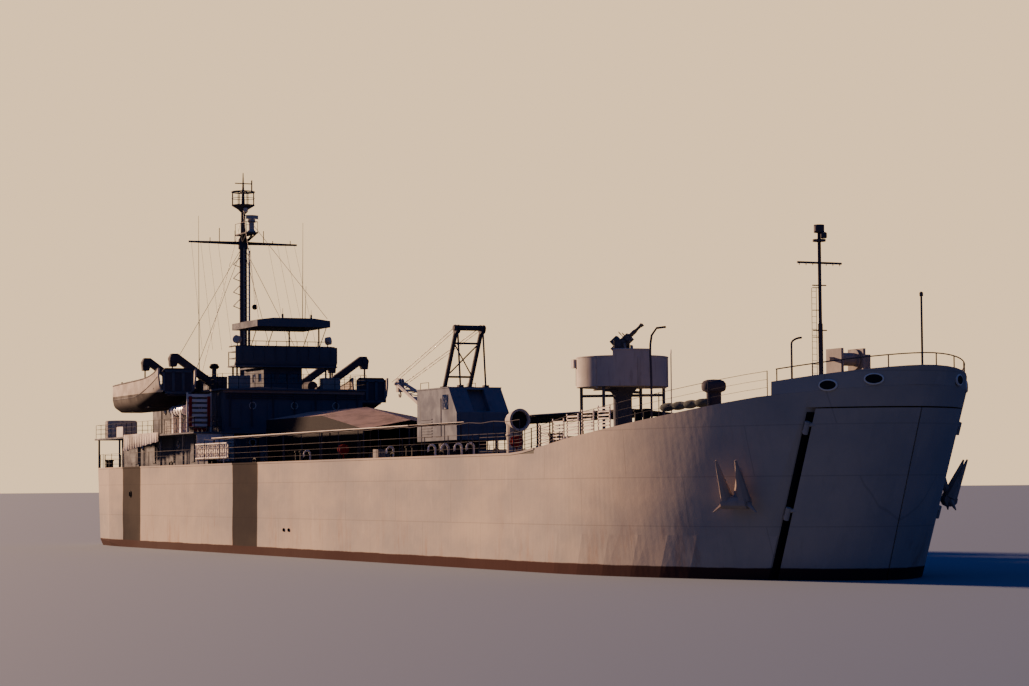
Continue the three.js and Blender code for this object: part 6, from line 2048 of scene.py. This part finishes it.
    def reels(self) -> Shape:
        """Hose reels on their posts by the rail."""
        drum = [[0.3, -0.16], [0.3, -0.13], [0.14, -0.12], [0.14, 0.12], [0.3, 0.13], [0.3, 0.16]]
        places = [(x, side * 6.9) for x in (51.5, 74.6) for side in SIDES]
        drums = [turned(drum, (x, y, 8.3), (1, 0, 0), 20) for x, y in places]
        return joined(drums + [posts([(x, y, DECK_Z) for x, y in places], 0.53, 0.04)])

    def lockers(self) -> Shape:
        """Boxes, hatches and lashing bins on the open deck."""
        x = [56.2, 58.8, 69.0, 75.2, 83.2, 84.8, 60.2, 42.0, 86.2]
        y = [-7.0, 1.8, -2.0, 2.4, -1.2, 3.0, -2.4, -2.2, -0.8]
        low = xyz(x, y, [DECK_Z] * 4 + [8.3, 8.5] + [DECK_Z] * 2 + [8.7])
        size = [[0.8, 0.5, 0.55], [1.8, 1.6, 0.7], [1.3, 1.5, 1.0], [1.6, 1.3, 0.8], [1.4, 1.4, 0.8],
                [1.2, 1.1, 0.7], [2.4, 2.6, 0.45], [1.8, 1.8, 0.5], [1.6, 1.6, 0.6]]
        return blocks(low, size)

    def racks(self) -> Shape:
        """White slatted gratings stowed against the starboard rail by the tub."""
        shape = Shape()
        for x in (77.8, 79.3, 80.8, 82.3, 83.8):
            y = 0.35 - HullLines.edge_y(x)
            slat = xyz(x, y, HullLines.deck_z(x) + np.linspace(0.25, 1.05, 6))
            shape.take(blocks(slat, [1.2, 0.04, 0.07]))
            shape.take(blocks(xyz([x, x + 1.15], y, HullLines.deck_z(x + 0.6)), [0.06, 0.05, 1.15]))
        return shape


@dataclass
class Awning:
    """Canvas stretched over its frame: sags between the rafters and pulls tight at the lacing."""

    tag: str
    x0: float
    x1: float
    outer: tuple[float, float]
    inner: tuple[float, float]
    bays: int
    finish: Finish
    slot: str
    inset: float = 0.12

    def build(self) -> None:
        """Makes the canvas, its hem rope and the frame's material."""
        refined_node(f"awning_frame_{self.tag}", Finish.DARK)
        sheet = self.canvas()
        hem = add_piece(f"awning_hem_{self.tag}", self.hem(), Finish.WHITE)

    def surface(self, u: Array, v: Array) -> Array:
        """Point of the canvas: straight from edge to edge, less a sag of sin(pi bay)^2 sin(pi v).

        Args:
            u: Share of the length from the aft end.
            v: Share of the width from the outer edge.

        Returns:
            An array of points over both.
        """
        x = self.x0 + u * (self.x1 - self.x0)
        y = self.outer[0] + v * (self.inner[0] - self.outer[0])
        z = self.outer[1] + v * (self.inner[1] - self.outer[1])
        bay = (x - self.x0 - self.inset) / (self.x1 - self.x0 - 2 * self.inset) * self.bays
        sag = np.sin(np.pi * np.clip(bay, 0, self.bays)) ** 2 * np.sin(np.pi * v)
        crease = 0.012 * np.sin(23 * v + 5 * np.sin(1.1 * x)) * np.sin(0.9 * x + 3 * v)
        return xyz(x, y, z - 0.02 - 0.08 * sag + crease * sag)

    def canvas(self) -> bpy.types.Object:
        """The sheet itself, a single skin given its thickness by a modifier."""
        u, v = np.meshgrid(np.linspace(0, 1, 24 * self.bays + 1), np.linspace(0, 1, 29), indexing="ij")
        shape = Shape().add(self.surface(u, v), np.roll(cells(*u.shape)[:, ::-1], 1, axis=1))
        sheet = add_piece(f"awning_canvas_{self.tag}", shape, self.finish, replaces=(f"awning_{self.tag}",),
                          smooth=80)
        skin = sheet.modifiers.new("cloth_thickness", "SOLIDIFY")
        skin.thickness = mm(12)
        skin.offset = 0
        return sheet

    def hem(self) -> Shape:
        """Bolt rope along the two long edges."""
        u = np.linspace(0, 1, 24 * self.bays + 1)
        return joined(tube(self.surface(u, np.full_like(u, v)), 0.03, 6) for v in (0.0, 1.0))


@dataclass
class Underwater:
    """Screws and rudders."""

    def build(self) -> None:
        """Dresses the screws and the rudders."""
        for tag in TAGS.values():
            refined_node(f"propeller_{tag}", Finish.BRONZE)
            dress_node(f"rudder_{tag}", Finish.HULL)


# Camera and light


@dataclass
class Studio:
    """Floor at the waterline, camera of the photograph and soft lights."""

    position: tuple[float, float, float] = (13.6469, -6.0206, 0.6078)
    lens: float = 88.25
    sensor: float = 36.0
    yaw: float = 25.4558
    pitch: float = 3.266
    roll: float = -0.449
    floor_half: float = 400.0

    def build(self) -> None:
        """Makes camera, floor and lights."""
        self.camera()
        self.floor()
        self.sky()
        self.sun("low_key_light", (-0.91, -0.36, 0.2), 16.0, 4.0, "#ffcfa6")

    def camera(self) -> None:
        """The camera: it looks along the bow quarter and is turned a little about its own axis."""
        yaw, pitch, roll = (math.radians(a) for a in (self.yaw, self.pitch, self.roll))
        ahead = Vector((-math.cos(yaw) * math.cos(pitch), math.sin(yaw) * math.cos(pitch), math.sin(pitch)))
        right = ahead.cross(Vector((0, 0, 1))).normalized()
        up = right.cross(ahead)
        side = math.cos(roll) * right + math.sin(roll) * up
        top = -math.sin(roll) * right + math.cos(roll) * up
        data = bpy.data.cameras.new("photo_camera")
        data.lens, data.sensor_width = self.lens, self.sensor
        data.clip_start, data.clip_end = 0.1, 1000.0
        camera = bpy.data.objects.new("photo_camera", data)
        turn = Matrix((side, top, -ahead)).transposed().to_4x4()
        camera.matrix_world = Matrix.Translation(self.position) @ turn
        bpy.context.scene.collection.objects.link(camera)
        bpy.context.scene.camera = camera

    def floor(self) -> None:
        """Plain pale floor at the waterline, which hides what is under water."""
        mesh = bpy.data.meshes.new("studio_floor")
        corners = [(x * self.floor_half, y * self.floor_half, WATERLINE * MODEL_SCALE)
                   for x, y in ((-1, -1), (1, -1), (1, 1), (-1, 1))]
        mesh.from_pydata(corners, [], [(0, 1, 2, 3)])
        n = Nodes("pale_studio_floor")
        mesh.materials.append(n.finish(linear("#566779"), 0.9, Specular_IOR_Level=0.2))
        floor = bpy.data.objects.new("studio_floor", mesh)
        bpy.context.scene.collection.objects.link(floor)

    def sky(self) -> None:
        """Warm haze to look at, and a dim blue dome as the light in the shade."""
        world = bpy.data.worlds.new("pale_surroundings")
        world.use_nodes = True
        tree = world.node_tree
        dome = tree.nodes["Background"]
        dome.inputs[0].default_value = linear("#344b8e")
        dome.inputs[1].default_value = 1.15
        haze = tree.nodes.new("ShaderNodeBackground")
        haze.inputs[0].default_value = linear("#e8c599")
        haze.inputs[1].default_value = 1.7
        seen = tree.nodes.new("ShaderNodeLightPath")
        choice = tree.nodes.new("ShaderNodeMixShader")
        tree.links.new(seen.outputs["Is Camera Ray"], choice.inputs[0])
        tree.links.new(dome.outputs[0], choice.inputs[1])
        tree.links.new(haze.outputs[0], choice.inputs[2])
        tree.links.new(choice.outputs[0], tree.nodes["World Output"].inputs[0])
        bpy.context.scene.world = world

    def sun(self, name: str, direction: tuple[float, float, float], power: float, spread: float,
            colour: str) -> None:
        """A far soft light of one direction, with a spread in degrees that softens its shadows.

        Args:
            name: The light's name.
            direction: Where it shines from.
            power: Its strength.
            spread: Its spread in degrees.
            colour: Its colour.
        """
        data = bpy.data.lights.new(name, "SUN")
        data.energy, data.angle = power, math.radians(spread)
        data.color = linear(colour)[:3]
        lamp = bpy.data.objects.new(name, data)
        towards = Vector(direction).normalized()
        lamp.location = towards * 20.0
        lamp.rotation_mode = "QUATERNION"
        lamp.rotation_quaternion = towards.to_track_quat("Z", "Y")
        bpy.context.scene.collection.objects.link(lamp)


def main() -> None:
    """Builds the studio and every sub-assembly in order."""
    logging.basicConfig(level=logging.INFO, format="%(message)s")
    parts = [
        Studio(), Hull(), BowDoors(), DeckRails(), Deckhouse(), Bridge(), MainMast(), ForeMast(), GunTub(),
        SternTubs(), LandingBoats(), Crane(), DeckGear(),
        Awning("starboard", 28, 61, (-6.9, 9.45), (-3.6, 9.65), 5, Finish.CANVAS_TAN, "canvas_tan"),
        Awning("port", 38, 67, (6.5, 10.0), (3.5, 10.25), 5, Finish.CANVAS_DARK, "canvas_dark"),
        Underwater(),
    ]
    for part in parts:
        part.build()


if __name__ == "__main__":
    main()
